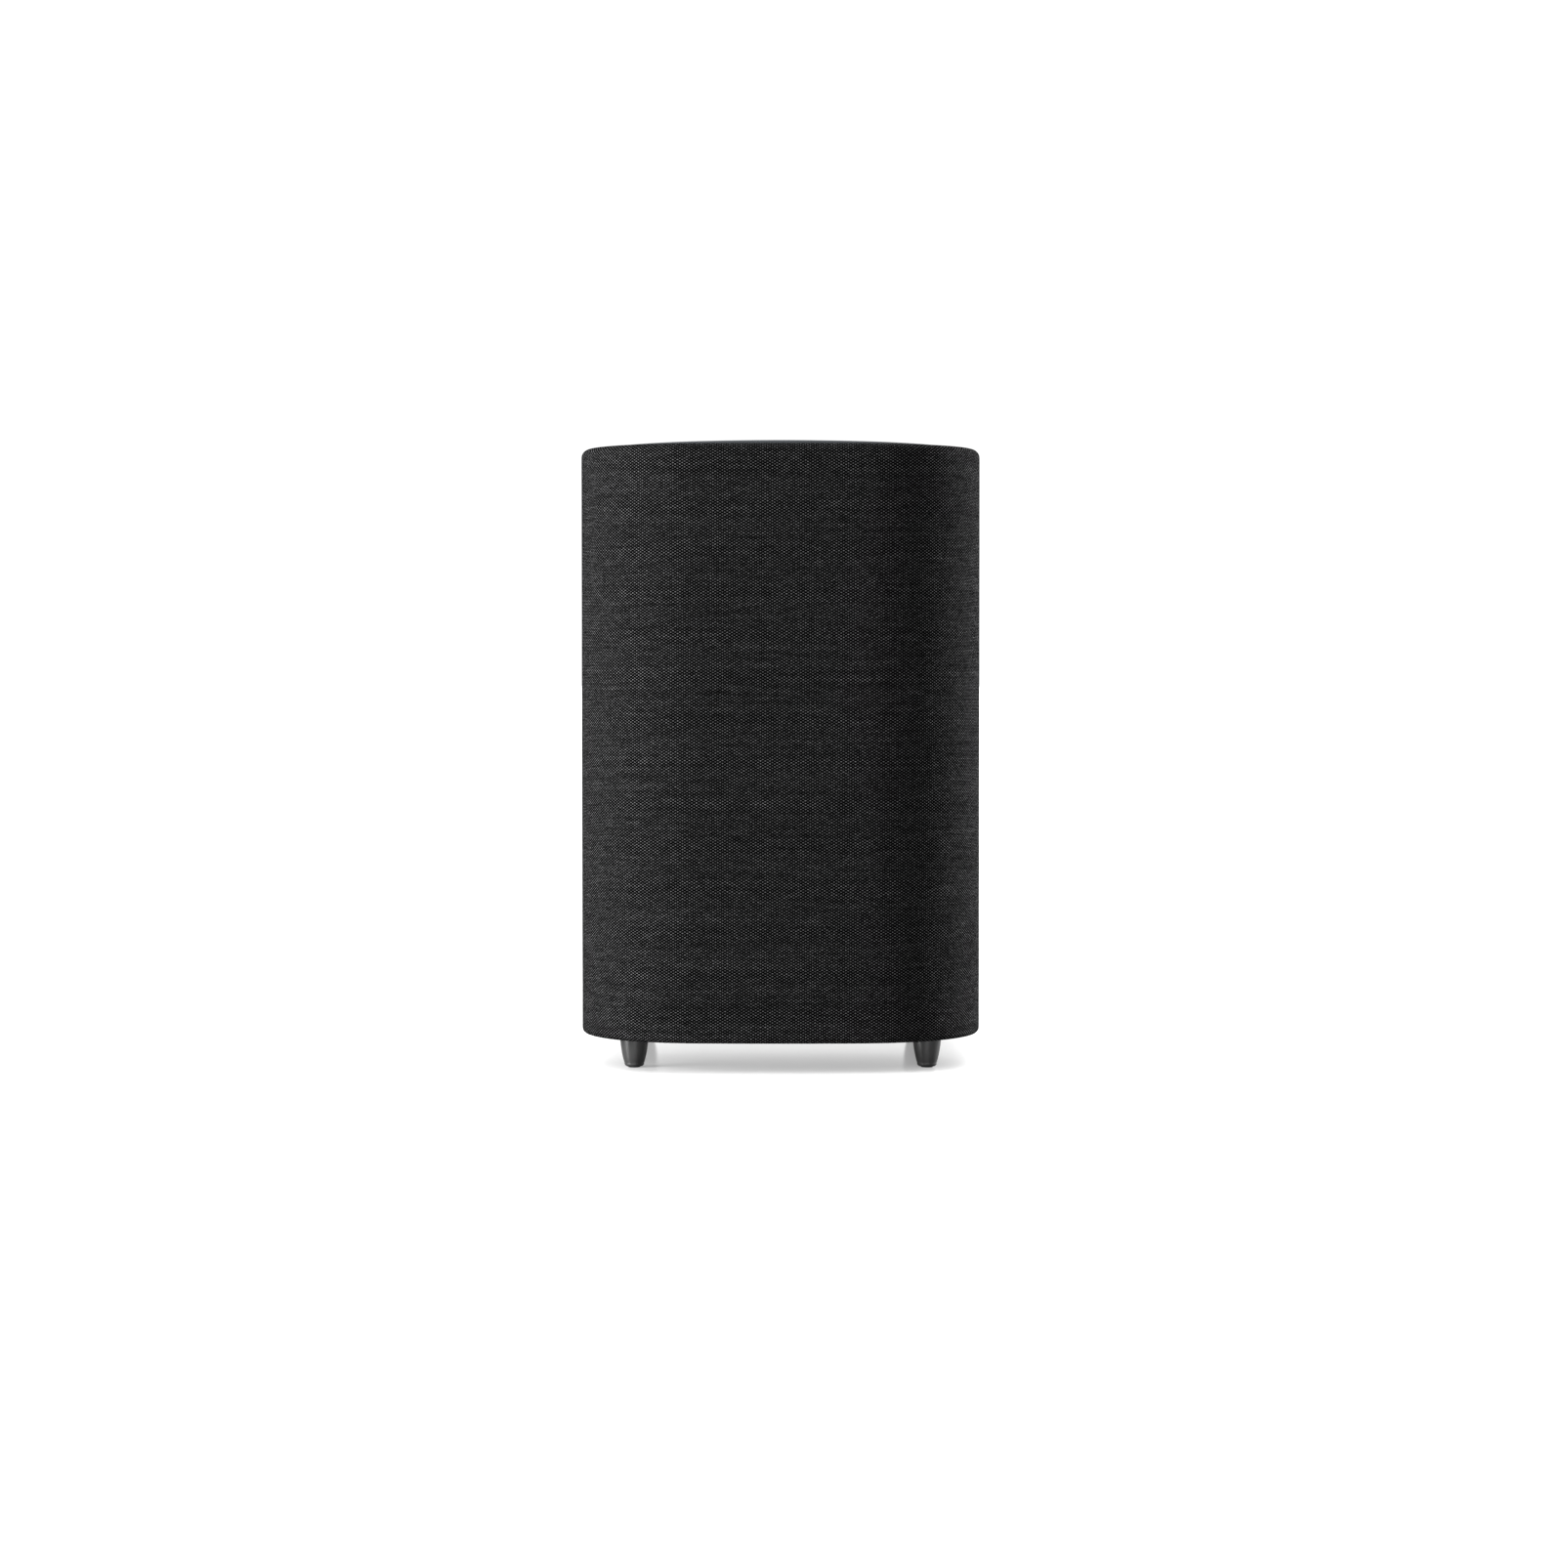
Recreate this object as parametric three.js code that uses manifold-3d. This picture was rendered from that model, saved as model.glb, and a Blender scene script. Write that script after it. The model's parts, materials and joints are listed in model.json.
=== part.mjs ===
// Compact wireless subwoofer: a fabric-wrapped cabinet with a rounded, bowed plan stands on four
// tapered feet and fires an 8-inch-class woofer down at the floor.
// Millimetres, +Z up. The front faces -Y. The origin is on the floor under the middle of the whole object,
// so the cabinet sits half of the rear plate's overhang in front of it.
import * as THREE from 'three';
import Module from 'manifold-3d';
import { LoftGeometry } from 'three/addons/geometries/LoftGeometry.js';
import { mergeVertices } from 'three/addons/utils/BufferGeometryUtils.js';

const wasm = await Module();
wasm.setup();

// ---------- driving dimensions ----------
const WIDTH = 243;
const DEPTH = 272;
const FLOOR_GAP = 18; // height of the feet
const BODY_HEIGHT = 352; // fabric-wrapped cabinet, without the crown of the top cover
const CORNER_RADIUS = 75;
const FACE_BOW_RADIUS = 715; // front and back faces
const SIDE_BOW_RADIUS = 1300;
const CROWN_RISE = 3.3; // top cover above the cabinet's top plane
const FABRIC = 1.5;
const SHELL_WALL = 9;
const TOP_EDGE_RADIUS = 5;
const BOTTOM_EDGE_RADIUS = 3.5;
const BASE_THICKNESS = 22;
const FOOT_X = 87.5;
const FOOT_Y = 91;
const WOOFER_RADIUS = 100; // outside of the basket's flange
const CONE_EDGE = 68;
const COIL_RADIUS = 19.3; // middle of the former's wall
const REAR_WIDTH = 104; // opening for the rear plate
const REAR_HEIGHT = 210;
const REAR_BOTTOM = 56;
const REAR_OVERHANG = 2.2; // how far the button on the rear plate stands behind the cabinet
const FIT_GAP = 0.3; // clearance between pieces that meet

// ---------- places that follow from them ----------
const bodyTop = FLOOR_GAP + BODY_HEIGHT;
const shellInset = FABRIC + FIT_GAP;
const shellInner = shellInset + SHELL_WALL;
const lipBottomInset = 12; // the cloth's lower edge, turned under the cabinet
const lipTopInset = 9; // the cloth's upper edge, turned over the cabinet
const baseTop = FLOOR_GAP + BASE_THICKNESS;
const ledgeBottom = baseTop + 1;
const ledgeTop = ledgeBottom + 11;
const boardTop = bodyTop - 6;
const flangeSeat = FLOOR_GAP + 12; // roof of the woofer's recess in the base plate
const FLANGE = 1.5; // thickness of the basket's flange
const SEAL = 1.3; // foam between the flange and its seat
const flangeUnderside = flangeSeat - FLANGE - SEAL;
const baseBore = WOOFER_RADIUS - 9.5;
const rearY = DEPTH / 2;
const rearZ = REAR_BOTTOM + REAR_HEIGHT / 2;
const footPlaces = [
  ['front_left', -FOOT_X, -FOOT_Y],
  ['front_right', FOOT_X, -FOOT_Y],
  ['rear_left', -FOOT_X, FOOT_Y],
  ['rear_right', FOOT_X, FOOT_Y],
];
const baseScrews = [[-45, -117], [45, -117], [-45, 117], [45, 117]];
const WOOFER_SCREWS = 6;
const WOOFER_SCREW_CIRCLE = 95;
const wooferScrews = Array.from({ length: WOOFER_SCREWS }, (_, i) => {
  const angle = ((i + 0.5) / WOOFER_SCREWS) * 2 * Math.PI;
  return [WOOFER_SCREW_CIRCLE * Math.cos(angle), WOOFER_SCREW_CIRCLE * Math.sin(angle)];
});

// ---------- finishes ----------
const finish = (color, roughness, metalness = 0) =>
  new THREE.MeshStandardMaterial({ color, roughness, metalness });
const fabric = finish(0x262626, 0.95);
const coverPlastic = finish(0x23262a, 0.35);
const casePlastic = finish(0x1b1c1e, 0.6);
const footPlastic = finish(0x444444, 0.5);
const rubber = finish(0x141414, 0.85);
const board = finish(0x8a6b4a, 0.8);
const foam = finish(0x2c2c2c, 1);
const wadding = finish(0xd8d6cf, 1);
const paper = finish(0x1f2022, 0.8);
const spiderCloth = finish(0x9c7a3c, 0.9);
const steel = finish(0x2a2c2f, 0.45, 0.8);
const zinc = finish(0xa9acb0, 0.35, 1);
const ferrite = finish(0x34363a, 0.6, 0.2);
const aluminium = finish(0xb9bcc0, 0.4, 1);
const copper = finish(0xa8643c, 0.4, 1);
const circuit = finish(0x1f5a35, 0.55);
const sleeveBlue = finish(0x1d2d4a, 0.4);
const lightPipe = finish(0xe9ecec, 0.2);

// ---------- solids ----------
function solidOf(geometry) {
  const bare = new THREE.BufferGeometry().setAttribute('position', geometry.attributes.position);
  const merged = mergeVertices(bare.setIndex(geometry.index), 1e-4);
  return new wasm.Manifold(
    new wasm.Mesh({
      numProp: 3,
      vertProperties: merged.attributes.position.array,
      triVerts: new Uint32Array(merged.index.array),
    }),
  );
}

function geometryOf(solid) {
  const mesh = solid.getMesh();
  return new THREE.BufferGeometry()
    .setAttribute('position', new THREE.BufferAttribute(mesh.vertProperties, 3))
    .setIndex(new THREE.BufferAttribute(mesh.triVerts, 1));
}

const cut = (body, ...tools) =>
  geometryOf(tools.reduce((rest, tool) => rest.subtract(solidOf(tool)), solidOf(body)));
const join = (body, ...more) =>
  geometryOf(more.reduce((whole, piece) => whole.add(solidOf(piece)), solidOf(body)));
const common = (a, b) => geometryOf(solidOf(a).intersect(solidOf(b)));

const root = new THREE.Group();
root.position.y = -REAR_OVERHANG / 2;

function add(name, geometry, material, position = [0, 0, 0], parent = root) {
  const mesh = new THREE.Mesh(geometry, material);
  mesh.name = name;
  mesh.position.set(...position);
  parent.add(mesh);
  return mesh;
}

// ---------- shapes ----------
// A solid of revolution about Z. The profile is a list of [radius, z]; it closes on itself or on the axis.
function revolve(profile, segments = 24) {
  const points = profile.map(([r, z]) => new THREE.Vector2(r < 1e-6 ? 0 : r, z));
  if (THREE.ShapeUtils.area(points) < 0) points.reverse();
  const onAxis = points[0].x === 0 && points.at(-1).x === 0;
  if (!onAxis) points.push(points[0].clone());
  return new THREE.LatheGeometry(points, segments).rotateX(Math.PI / 2);
}

// [radius, z] points on a circular arc in a profile's plane, angles in degrees from the outward direction.
function profileArc(centreR, centreZ, radius, fromDeg, toDeg, steps) {
  return Array.from({ length: steps + 1 }, (_, i) => {
    const angle = THREE.MathUtils.degToRad(fromDeg + ((toDeg - fromDeg) * i) / steps);
    return [centreR + radius * Math.cos(angle), centreZ + radius * Math.sin(angle)];
  });
}

const ring = (r0, r1, z0, z1, segments = 24) => revolve([[r0, z0], [r1, z0], [r1, z1], [r0, z1]], segments);
const disc = (radius, z0, z1, segments = 24) =>
  new THREE.CylinderGeometry(radius, radius, z1 - z0, segments)
    .rotateX(Math.PI / 2)
    .translate(0, 0, (z0 + z1) / 2);
const discsAt = (places, radius, z0, z1, segments = 6) =>
  places.map(([x, y]) => disc(radius, z0, z1, segments).translate(x, y, 0));
const box = (x0, x1, y0, y1, z0, z1) =>
  new THREE.BoxGeometry(x1 - x0, y1 - y0, z1 - z0).translate((x0 + x1) / 2, (y0 + y1) / 2, (z0 + z1) / 2);
const rodAlongY = (radius, y0, y1, x, z, segments = 16) =>
  new THREE.CylinderGeometry(radius, radius, y1 - y0, segments).translate(x, (y0 + y1) / 2, z);
const turnToBack = -Math.PI / 2; // about X: what pointed up now points backwards

function roundedRectangle(width, height, radius) {
  const shape = new THREE.Shape();
  const x = width / 2 - radius;
  const y = height / 2 - radius;
  shape.absarc(x, y, radius, 0, Math.PI / 2);
  shape.absarc(-x, y, radius, Math.PI / 2, Math.PI);
  shape.absarc(-x, -y, radius, Math.PI, 1.5 * Math.PI);
  shape.absarc(x, -y, radius, 1.5 * Math.PI, 2 * Math.PI);
  return shape;
}

// A prism whose section lies in the XZ plane around (x, z), running from y0 to y1.
const prismAlongY = (shape, y0, y1, x, z) =>
  new THREE.ExtrudeGeometry(shape, { depth: y1 - y0, bevelEnabled: false, curveSegments: 4 })
    .rotateX(Math.PI / 2)
    .translate(x, y1, z);

// ---------- the cabinet's plan ----------
// Four corner arcs, each tangent to a bowed face and a bowed side. Insetting keeps every arc's centre.
const corner = { x: WIDTH / 2 - CORNER_RADIUS, y: DEPTH / 2 - CORNER_RADIUS };
for (let i = 0; i < 20; i++) {
  const faceReach = Math.sqrt((FACE_BOW_RADIUS - CORNER_RADIUS) ** 2 - corner.x ** 2);
  const sideReach = Math.sqrt((SIDE_BOW_RADIUS - CORNER_RADIUS) ** 2 - corner.y ** 2);
  corner.y = DEPTH / 2 - FACE_BOW_RADIUS + faceReach;
  corner.x = WIDTH / 2 - SIDE_BOW_RADIUS + sideReach;
}
const faceCentreY = DEPTH / 2 - FACE_BOW_RADIUS;
const sideCentreX = WIDTH / 2 - SIDE_BOW_RADIUS;
const faceAngle = Math.atan2(corner.y - faceCentreY, corner.x);
const sideAngle = Math.atan2(corner.y, corner.x - sideCentreX);
const CORNER_STEPS = 6;
const FACE_STEPS = 4;
const SIDE_STEPS = 4;

function planOutline(inset) {
  const arcs = [
    [sideCentreX, 0, SIDE_BOW_RADIUS, -sideAngle, sideAngle, SIDE_STEPS],
    [corner.x, corner.y, CORNER_RADIUS, sideAngle, faceAngle, CORNER_STEPS],
    [0, faceCentreY, FACE_BOW_RADIUS, faceAngle, Math.PI - faceAngle, FACE_STEPS],
    [-corner.x, corner.y, CORNER_RADIUS, Math.PI - faceAngle, Math.PI - sideAngle, CORNER_STEPS],
  ];
  const half = arcs.flatMap(([x, y, radius, from, to, steps]) =>
    new THREE.EllipseCurve(x, y, radius - inset, radius - inset, from, to).getPoints(steps).slice(0, -1),
  );
  const otherHalf = half.map((p) => p.clone().negate());
  return [...half, ...otherHalf];
}

// Sweeps a closed profile of [inset, z] points round the plan: outside wall upwards, then inwards and down.
function planRing(profile) {
  const sections = [...profile, profile[0]].map(([inset, z]) =>
    planOutline(inset).map((p) => new THREE.Vector3(p.x, p.y, z)),
  );
  return new LoftGeometry(sections);
}

const planBand = (outer, inner, z0, z1) => planRing([[outer, z0], [outer, z1], [inner, z1], [inner, z0]]);
const planSlab = (inset, z0, z1, holes = []) => {
  const shape = new THREE.Shape(planOutline(inset));
  shape.holes.push(...holes);
  return new THREE.ExtrudeGeometry(shape, { depth: z1 - z0, bevelEnabled: false }).translate(0, 0, z0);
};
const insetArc = (inset, ...arc) => profileArc(-inset, ...arc).map(([out, z]) => [-out, z]);

// Cutters and patches of the rounded opening for the rear plate.
const rearWindow = (margin, radius) =>
  prismAlongY(
    roundedRectangle(REAR_WIDTH - 2 * margin, REAR_HEIGHT - 2 * margin, radius),
    rearY - 40, rearY + 20, 0, rearZ,
  );
const rearPatch = (outer, inner, margin, radius) =>
  common(planBand(outer, inner, FLOOR_GAP, bodyTop), rearWindow(margin, radius));

// ---------- screws: head down, shank up, the head's underside at z = 0 ----------
const SCREW = 1.8; // shank radius
const SCREW_HOLE = SCREW + 0.4;
const HEAD = 4.2; // radius of a pan head
const HEAD_HEIGHT = 2.2;

function screw(headRadius, headHeight, length) {
  const profile = [
    [0, -headHeight],
    [headRadius * 0.8, -headHeight],
    [headRadius, 0],
    [SCREW, 0],
    [SCREW, length - 1],
    [0, length],
  ];
  return revolve(profile, 8);
}

// ---------- feet ----------
function addFeet() {
  const padRadius = 3.6;
  const padThickness = 1.8;
  const bore = padRadius + FIT_GAP;
  const boreTop = 6.6;
  const bottom = 0.6; // the pad stands this far proud
  const taper = new THREE.QuadraticBezierCurve(
    new THREE.Vector2(5.7, 2.4),
    new THREE.Vector2(7.7, 8.2),
    new THREE.Vector2(8.6, FLOOR_GAP),
  );
  const foot = revolve(
    [
      [bore, bottom],
      [bore + 0.5, bottom],
      [5.3, 1.3],
      ...taper.getPoints(2).map((p) => [p.x, p.y]),
      [SCREW_HOLE, FLOOR_GAP],
      [SCREW_HOLE, boreTop],
      [bore, boreTop],
    ],
    14,
  );
  for (const [place, x, y] of footPlaces) {
    add(`foot_${place}`, foot, footPlastic, [x, y, 0]);
    add(`foot_pad_${place}`, disc(padRadius, 0, padThickness, 12), rubber, [x, y, 0]);
    add(`foot_screw_${place}`, screw(3.3, HEAD_HEIGHT, 24), zinc, [x, y, boreTop - FIT_GAP]);
  }
}

// ---------- cloth round the cabinet ----------
// Inset and height of the middle of each rounded edge.
const topEdge = [TOP_EDGE_RADIUS, bodyTop - TOP_EDGE_RADIUS];
const bottomEdge = [BOTTOM_EDGE_RADIUS, FLOOR_GAP + BOTTOM_EDGE_RADIUS];

function addFabricSleeve() {
  const sleeve = planRing([
    [lipBottomInset, FLOOR_GAP],
    ...insetArc(...bottomEdge, BOTTOM_EDGE_RADIUS, -90, 0, 2),
    ...insetArc(...topEdge, TOP_EDGE_RADIUS, 0, 90, 3),
    [lipTopInset, bodyTop],
    [lipTopInset, bodyTop - FABRIC],
    ...insetArc(...topEdge, TOP_EDGE_RADIUS - FABRIC, 90, 0, 2),
    ...insetArc(...bottomEdge, BOTTOM_EDGE_RADIUS - FABRIC, 0, -90, 1),
    [lipBottomInset, FLOOR_GAP + FABRIC],
  ]);
  add('fabric_sleeve', cut(sleeve, rearWindow(0, 15)), fabric);
}

// ---------- cabinet: a tube with a ledge for the base, a seat for the rear plate, and two boards ----------
const baseScrewTip = ledgeTop - 2;

function addCabinet() {
  const ledgeInner = 22;
  const seat = 5.3; // inset of the face that the rear plate's gasket presses on
  const shell = planRing([
    ...insetArc(...bottomEdge, BOTTOM_EDGE_RADIUS - shellInset, -90, 0, 1),
    ...insetArc(...topEdge, TOP_EDGE_RADIUS - shellInset, 0, 90, 2),
    [shellInner, bodyTop - shellInset],
    [shellInner, ledgeTop],
    [ledgeInner, ledgeTop],
    [ledgeInner, ledgeBottom],
    [shellInner, ledgeBottom],
    [shellInner, FLOOR_GAP + shellInset],
  ]);
  const screwHoles = discsAt(baseScrews, SCREW_HOLE, ledgeBottom - 1, baseScrewTip + 1, 8);
  add('cabinet_shell', cut(shell, rearPatch(-3, seat, 0, 15), rearWindow(6, 9), ...screwHoles), board);

  const boardInset = shellInner + FIT_GAP;
  const boardThickness = 12;
  add('top_board', planSlab(boardInset, boardTop - boardThickness, boardTop), board);
  const braceZ = 284;
  const braceHole = new THREE.Path(planOutline(42));
  add('window_brace', planSlab(boardInset, braceZ, braceZ + boardThickness, [braceHole]), board);
}

function addDampingPads() {
  const padThickness = 13.7;
  const padEdgeX = 78;
  const band = planBand(shellInner + FIT_GAP, shellInner + FIT_GAP + padThickness, 130, 278);
  for (const [side, x0, x1] of [['left', -WIDTH, -padEdgeX], ['right', padEdgeX, WIDTH]]) {
    add(`damping_pad_${side}`, common(band, box(x0, x1, -DEPTH, DEPTH, 0, bodyTop)), wadding);
  }
}

// Crowned cover: its rim sits on the shell, and a plug below the rim drops inside the fabric's lip.
function addTopCover() {
  const rim = lipTopInset + FIT_GAP;
  const plug = shellInner + 2 * FIT_GAP;
  const edge = 1.3; // rounding of the upper edge
  const crownX = 2000; // radii of the crown across and along
  const crownY = 6720;
  const level = (inset, z) => planOutline(inset).map((p) => new THREE.Vector3(p.x, p.y, z));
  const crowned = (inset, drop, share = 1) =>
    planOutline(inset).map((p) => {
      p.multiplyScalar(share);
      const fall = p.x ** 2 / (2 * crownX) + p.y ** 2 / (2 * crownY);
      return new THREE.Vector3(p.x, p.y, bodyTop + CROWN_RISE - fall - drop);
    });
  const sections = [
    level(plug, boardTop + FIT_GAP),
    level(plug, bodyTop - FABRIC),
    level(rim, bodyTop - FABRIC),
    crowned(rim, edge),
    crowned(rim + edge * 0.3, edge * 0.3),
    crowned(rim + edge, 0),
    crowned(rim + edge, 0, 0.6),
    crowned(rim + edge, 0, 0.1),
  ];
  add('top_cover', new LoftGeometry(sections, { capStart: true, capEnd: true }), coverPlastic);
}

// ---------- base ----------
function addBase() {
  const inset = lipBottomInset + FIT_GAP;
  const footScrews = footPlaces.map(([, x, y]) => [x, y]);
  const headRoom = HEAD_HEIGHT + 0.6;
  const base = cut(
    planSlab(inset, FLOOR_GAP, baseTop),
    disc(WOOFER_RADIUS + 1.6, FLOOR_GAP - 1, flangeSeat, 32),
    disc(baseBore, FLOOR_GAP, baseTop + 1, 24),
    ...discsAt(baseScrews, SCREW_HOLE, FLOOR_GAP, baseTop + 1),
    ...discsAt(baseScrews, HEAD + 0.5, FLOOR_GAP - 1, FLOOR_GAP + headRoom),
    ...discsAt(footScrews, SCREW_HOLE, FLOOR_GAP - 1, FLOOR_GAP + 14),
    ...discsAt(wooferScrews, SCREW_HOLE, flangeSeat - 1, flangeSeat + 7),
  );
  add('base_plate', base, casePlastic);

  const gasketGap = 0.2;
  add('base_gasket', planBand(inset, 15, baseTop + gasketGap, ledgeBottom - gasketGap), foam);
  const headZ = FLOOR_GAP + headRoom - FIT_GAP;
  const fastener = screw(HEAD, HEAD_HEIGHT, baseScrewTip - headZ);
  baseScrews.forEach(([x, y], i) => add(`base_screw_${i + 1}`, fastener, zinc, [x, y, headZ]));
}

// ---------- woofer, firing down ----------
// Heights in this group count up from the underside of the basket's flange.
const woofer = new THREE.Group();
woofer.position.z = flangeUnderside;
root.add(woofer);
const addToWoofer = (name, geometry, material, position) => add(name, geometry, material, position, woofer);
const BASKET_HEIGHT = 54.5; // flange's underside to the magnet's seat
const SPIDER_LEDGE = 64; // inner radius of the basket where the spider is glued
const trimTop = -FIT_GAP;
const trimBottom = trimTop - 2;

// A pressed steel basket: flange, sloped wall with six windows, spider ledge and magnet seat.
function addBasket() {
  const sheet = 1.8;
  const coilRoom = 22.2;
  const profile = [
    [82, 0],
    [WOOFER_RADIUS, 0],
    [WOOFER_RADIUS, FLANGE],
    [89.6, FLANGE],
    [86, 18.5],
    [SPIDER_LEDGE + 2, 40.5],
    [SPIDER_LEDGE + 2, 47.5],
    [53, BASKET_HEIGHT],
    [coilRoom, BASKET_HEIGHT],
    [coilRoom, BASKET_HEIGHT - sheet],
    [52, BASKET_HEIGHT - sheet],
    [SPIDER_LEDGE, 46],
    [SPIDER_LEDGE, 39.7],
    [84, 17.5],
    [86, FLANGE],
  ];
  const windows = Array.from({ length: 6 }, (_, i) =>
    box(58, 96, -20, 20, 9.5, 36.5).rotateZ((i * Math.PI) / 3),
  );
  const flangeHoles = discsAt(wooferScrews, SCREW_HOLE, -1, FLANGE + 1);
  addToWoofer('woofer_basket', cut(revolve(profile), ...windows, ...flangeHoles), steel);
}

function addFlangeTrim() {
  const seatZ = flangeSeat - flangeUnderside;
  addToWoofer('woofer_seal', ring(baseBore + 0.5, 92.6, FLANGE + 0.2, seatZ - 0.2), foam);
  const [inner, outer, chamfer] = [89.2, WOOFER_RADIUS - 0.2, 0.8];
  const trim = revolve([
    [inner, trimBottom + chamfer],
    [inner + chamfer, trimBottom],
    [outer - chamfer, trimBottom],
    [outer, trimBottom + chamfer],
    [outer, trimTop],
    [inner, trimTop],
  ]);
  addToWoofer('woofer_trim_ring', cut(trim, ...discsAt(wooferScrews, SCREW_HOLE, trimBottom - 1, 1)), rubber);
  const fastener = screw(HEAD * 0.9, HEAD_HEIGHT, seatZ + 6 - trimBottom);
  wooferScrews.forEach(([x, y], i) =>
    addToWoofer(`woofer_screw_${i + 1}`, fastener, zinc, [x, y, trimBottom - 0.1]),
  );
}

// The surround's half roll bulges down between the cone's edge and the flange.
function addSurround() {
  const roll = 7;
  const skin = 0.9;
  const outer = 88.8;
  const lip = 3; // glued under the cone's edge
  const middle = CONE_EDGE + 0.9 + roll;
  const profile = [
    [outer, trimTop - skin],
    [outer, trimTop],
    ...profileArc(middle, trimTop, roll - skin / 2, 0, -180, 5),
    [CONE_EDGE - lip, trimTop],
    [CONE_EDGE - lip, trimTop - skin],
    ...profileArc(middle, trimTop - skin, roll + skin / 2, -174, -6, 5),
  ];
  addToWoofer('surround', revolve(profile), rubber);
}

// Cone, dust cap and voice coil move as one.
function addMovingAssembly() {
  const neckHeight = 31.5;
  const coneBase = 0.2;
  const coneWall = 1.1;
  const coneInner = CONE_EDGE - 4.6;
  const neck = COIL_RADIUS + 0.8;
  const cone = revolve([
    [CONE_EDGE, coneBase],
    [CONE_EDGE, coneBase + coneWall],
    [coneInner + 0.6, coneBase + coneWall],
    [neck, neckHeight + coneWall],
    [neck, neckHeight],
    [coneInner, coneBase],
  ]);
  addToWoofer('cone', cone, paper);

  // The dust cap is a shallow dome whose rim sits just below the cone's slope.
  const [capRadius, capDepth, capWall] = [33, 12, 0.9];
  const sphere = (capRadius ** 2 + capDepth ** 2) / (2 * capDepth);
  const slopeShare = (coneInner - capRadius) / (coneInner - neck);
  const capRim = coneBase + slopeShare * (neckHeight - coneBase) - 1;
  const halfAngle = THREE.MathUtils.radToDeg(Math.asin(capRadius / sphere));
  const capArc = (radius, from, to) => profileArc(0, capRim - capDepth + sphere, radius, from, to, 3);
  const face = capArc(sphere, -90, halfAngle - 90);
  const back = capArc(sphere - capWall, halfAngle - 90, -90);
  addToWoofer('dust_cap', revolve([...face, ...back]), paper);

  const formerWall = 0.35;
  const formerInner = COIL_RADIUS - formerWall;
  const formerOuter = COIL_RADIUS + formerWall;
  const windingOuter = COIL_RADIUS + 1.3;
  const windingBottom = 48.5;
  const windingTop = windingBottom + 22;
  const coil = [
    [formerInner, neckHeight - 3],
    [formerOuter, neckHeight - 3],
    [formerOuter, windingBottom],
    [windingOuter, windingBottom],
    [windingOuter, windingTop],
    [formerOuter, windingTop],
    [formerOuter, windingTop + 2],
    [formerInner, windingTop + 2],
  ];
  addToWoofer('voice_coil', revolve(coil, 20), copper);
}

function addSpider() {
  const height = 44;
  const corrugations = 4;
  const wave = 1.1;
  const cloth = 0.7;
  const inner = COIL_RADIUS + 0.7;
  const reach = SPIDER_LEDGE - 1 - inner;
  const face = Array.from({ length: 2 * corrugations + 1 }, (_, i) => {
    const share = i / (2 * corrugations);
    return [inner + reach * share, height + wave * Math.sin(share * corrugations * Math.PI)];
  });
  const back = face.toReversed().map(([r, z]) => [r, z + cloth]);
  addToWoofer('spider', revolve([...face, ...back], 20), spiderCloth);
}

// Front plate, ring magnet and back yoke with its vented pole, glued with thin gaps between them.
function addMagnetSystem() {
  const glue = 0.2;
  const plateRadius = 50;
  const plateTop = BASKET_HEIGHT + 8;
  const magnetTop = plateTop + 20;
  const yokeTop = magnetTop + 8;
  addToWoofer('pole_plate', ring(21.4, plateRadius, BASKET_HEIGHT + glue, plateTop), zinc);
  addToWoofer('magnet', ring(30, plateRadius + 5, plateTop + glue, magnetTop), ferrite);
  const [vent, pole, chamfer] = [6, 18.2, 2];
  const yoke = revolve([
    [vent, BASKET_HEIGHT],
    [pole, BASKET_HEIGHT],
    [pole, magnetTop + glue],
    [plateRadius, magnetTop + glue],
    [plateRadius, yokeTop - chamfer],
    [plateRadius - chamfer, yokeTop],
    [vent, yokeTop],
  ]);
  addToWoofer('magnet_yoke', yoke, zinc);
}

function addTerminal() {
  const x = SPIDER_LEDGE + 2.4;
  const strip = box(x, x + 2, -10, 10, 41.1, 52.5);
  const tabs = [-5, 5].map((y) => box(x + 1.6, x + 2.6, y - 2, y + 2, 43.5, 56.5));
  addToWoofer('woofer_terminal', join(strip, ...tabs), circuit).rotation.z = (3 * Math.PI) / 4;
}

// ---------- rear plate and what it carries ----------
const PORT_Z = 222;
const PORT_FLANGE = 36;
const INLET_Z = 96;
const BUTTON_Z = 150;
const LIGHT_Z = 162;
const BOARD_Y = 104; // inner face of the main board
const BOARD = 1.6;
const portPocketY = rearY - 1.4; // flat floor of the port's pocket in the bowed plate
const inletPocketY = rearY + 0.2;
const standoffs = [[-38, 76], [38, 76], [-38, 176], [38, 176]];
const rearScrews = [[-46, 64], [46, 64], [-46, 258], [46, 258]];

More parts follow.
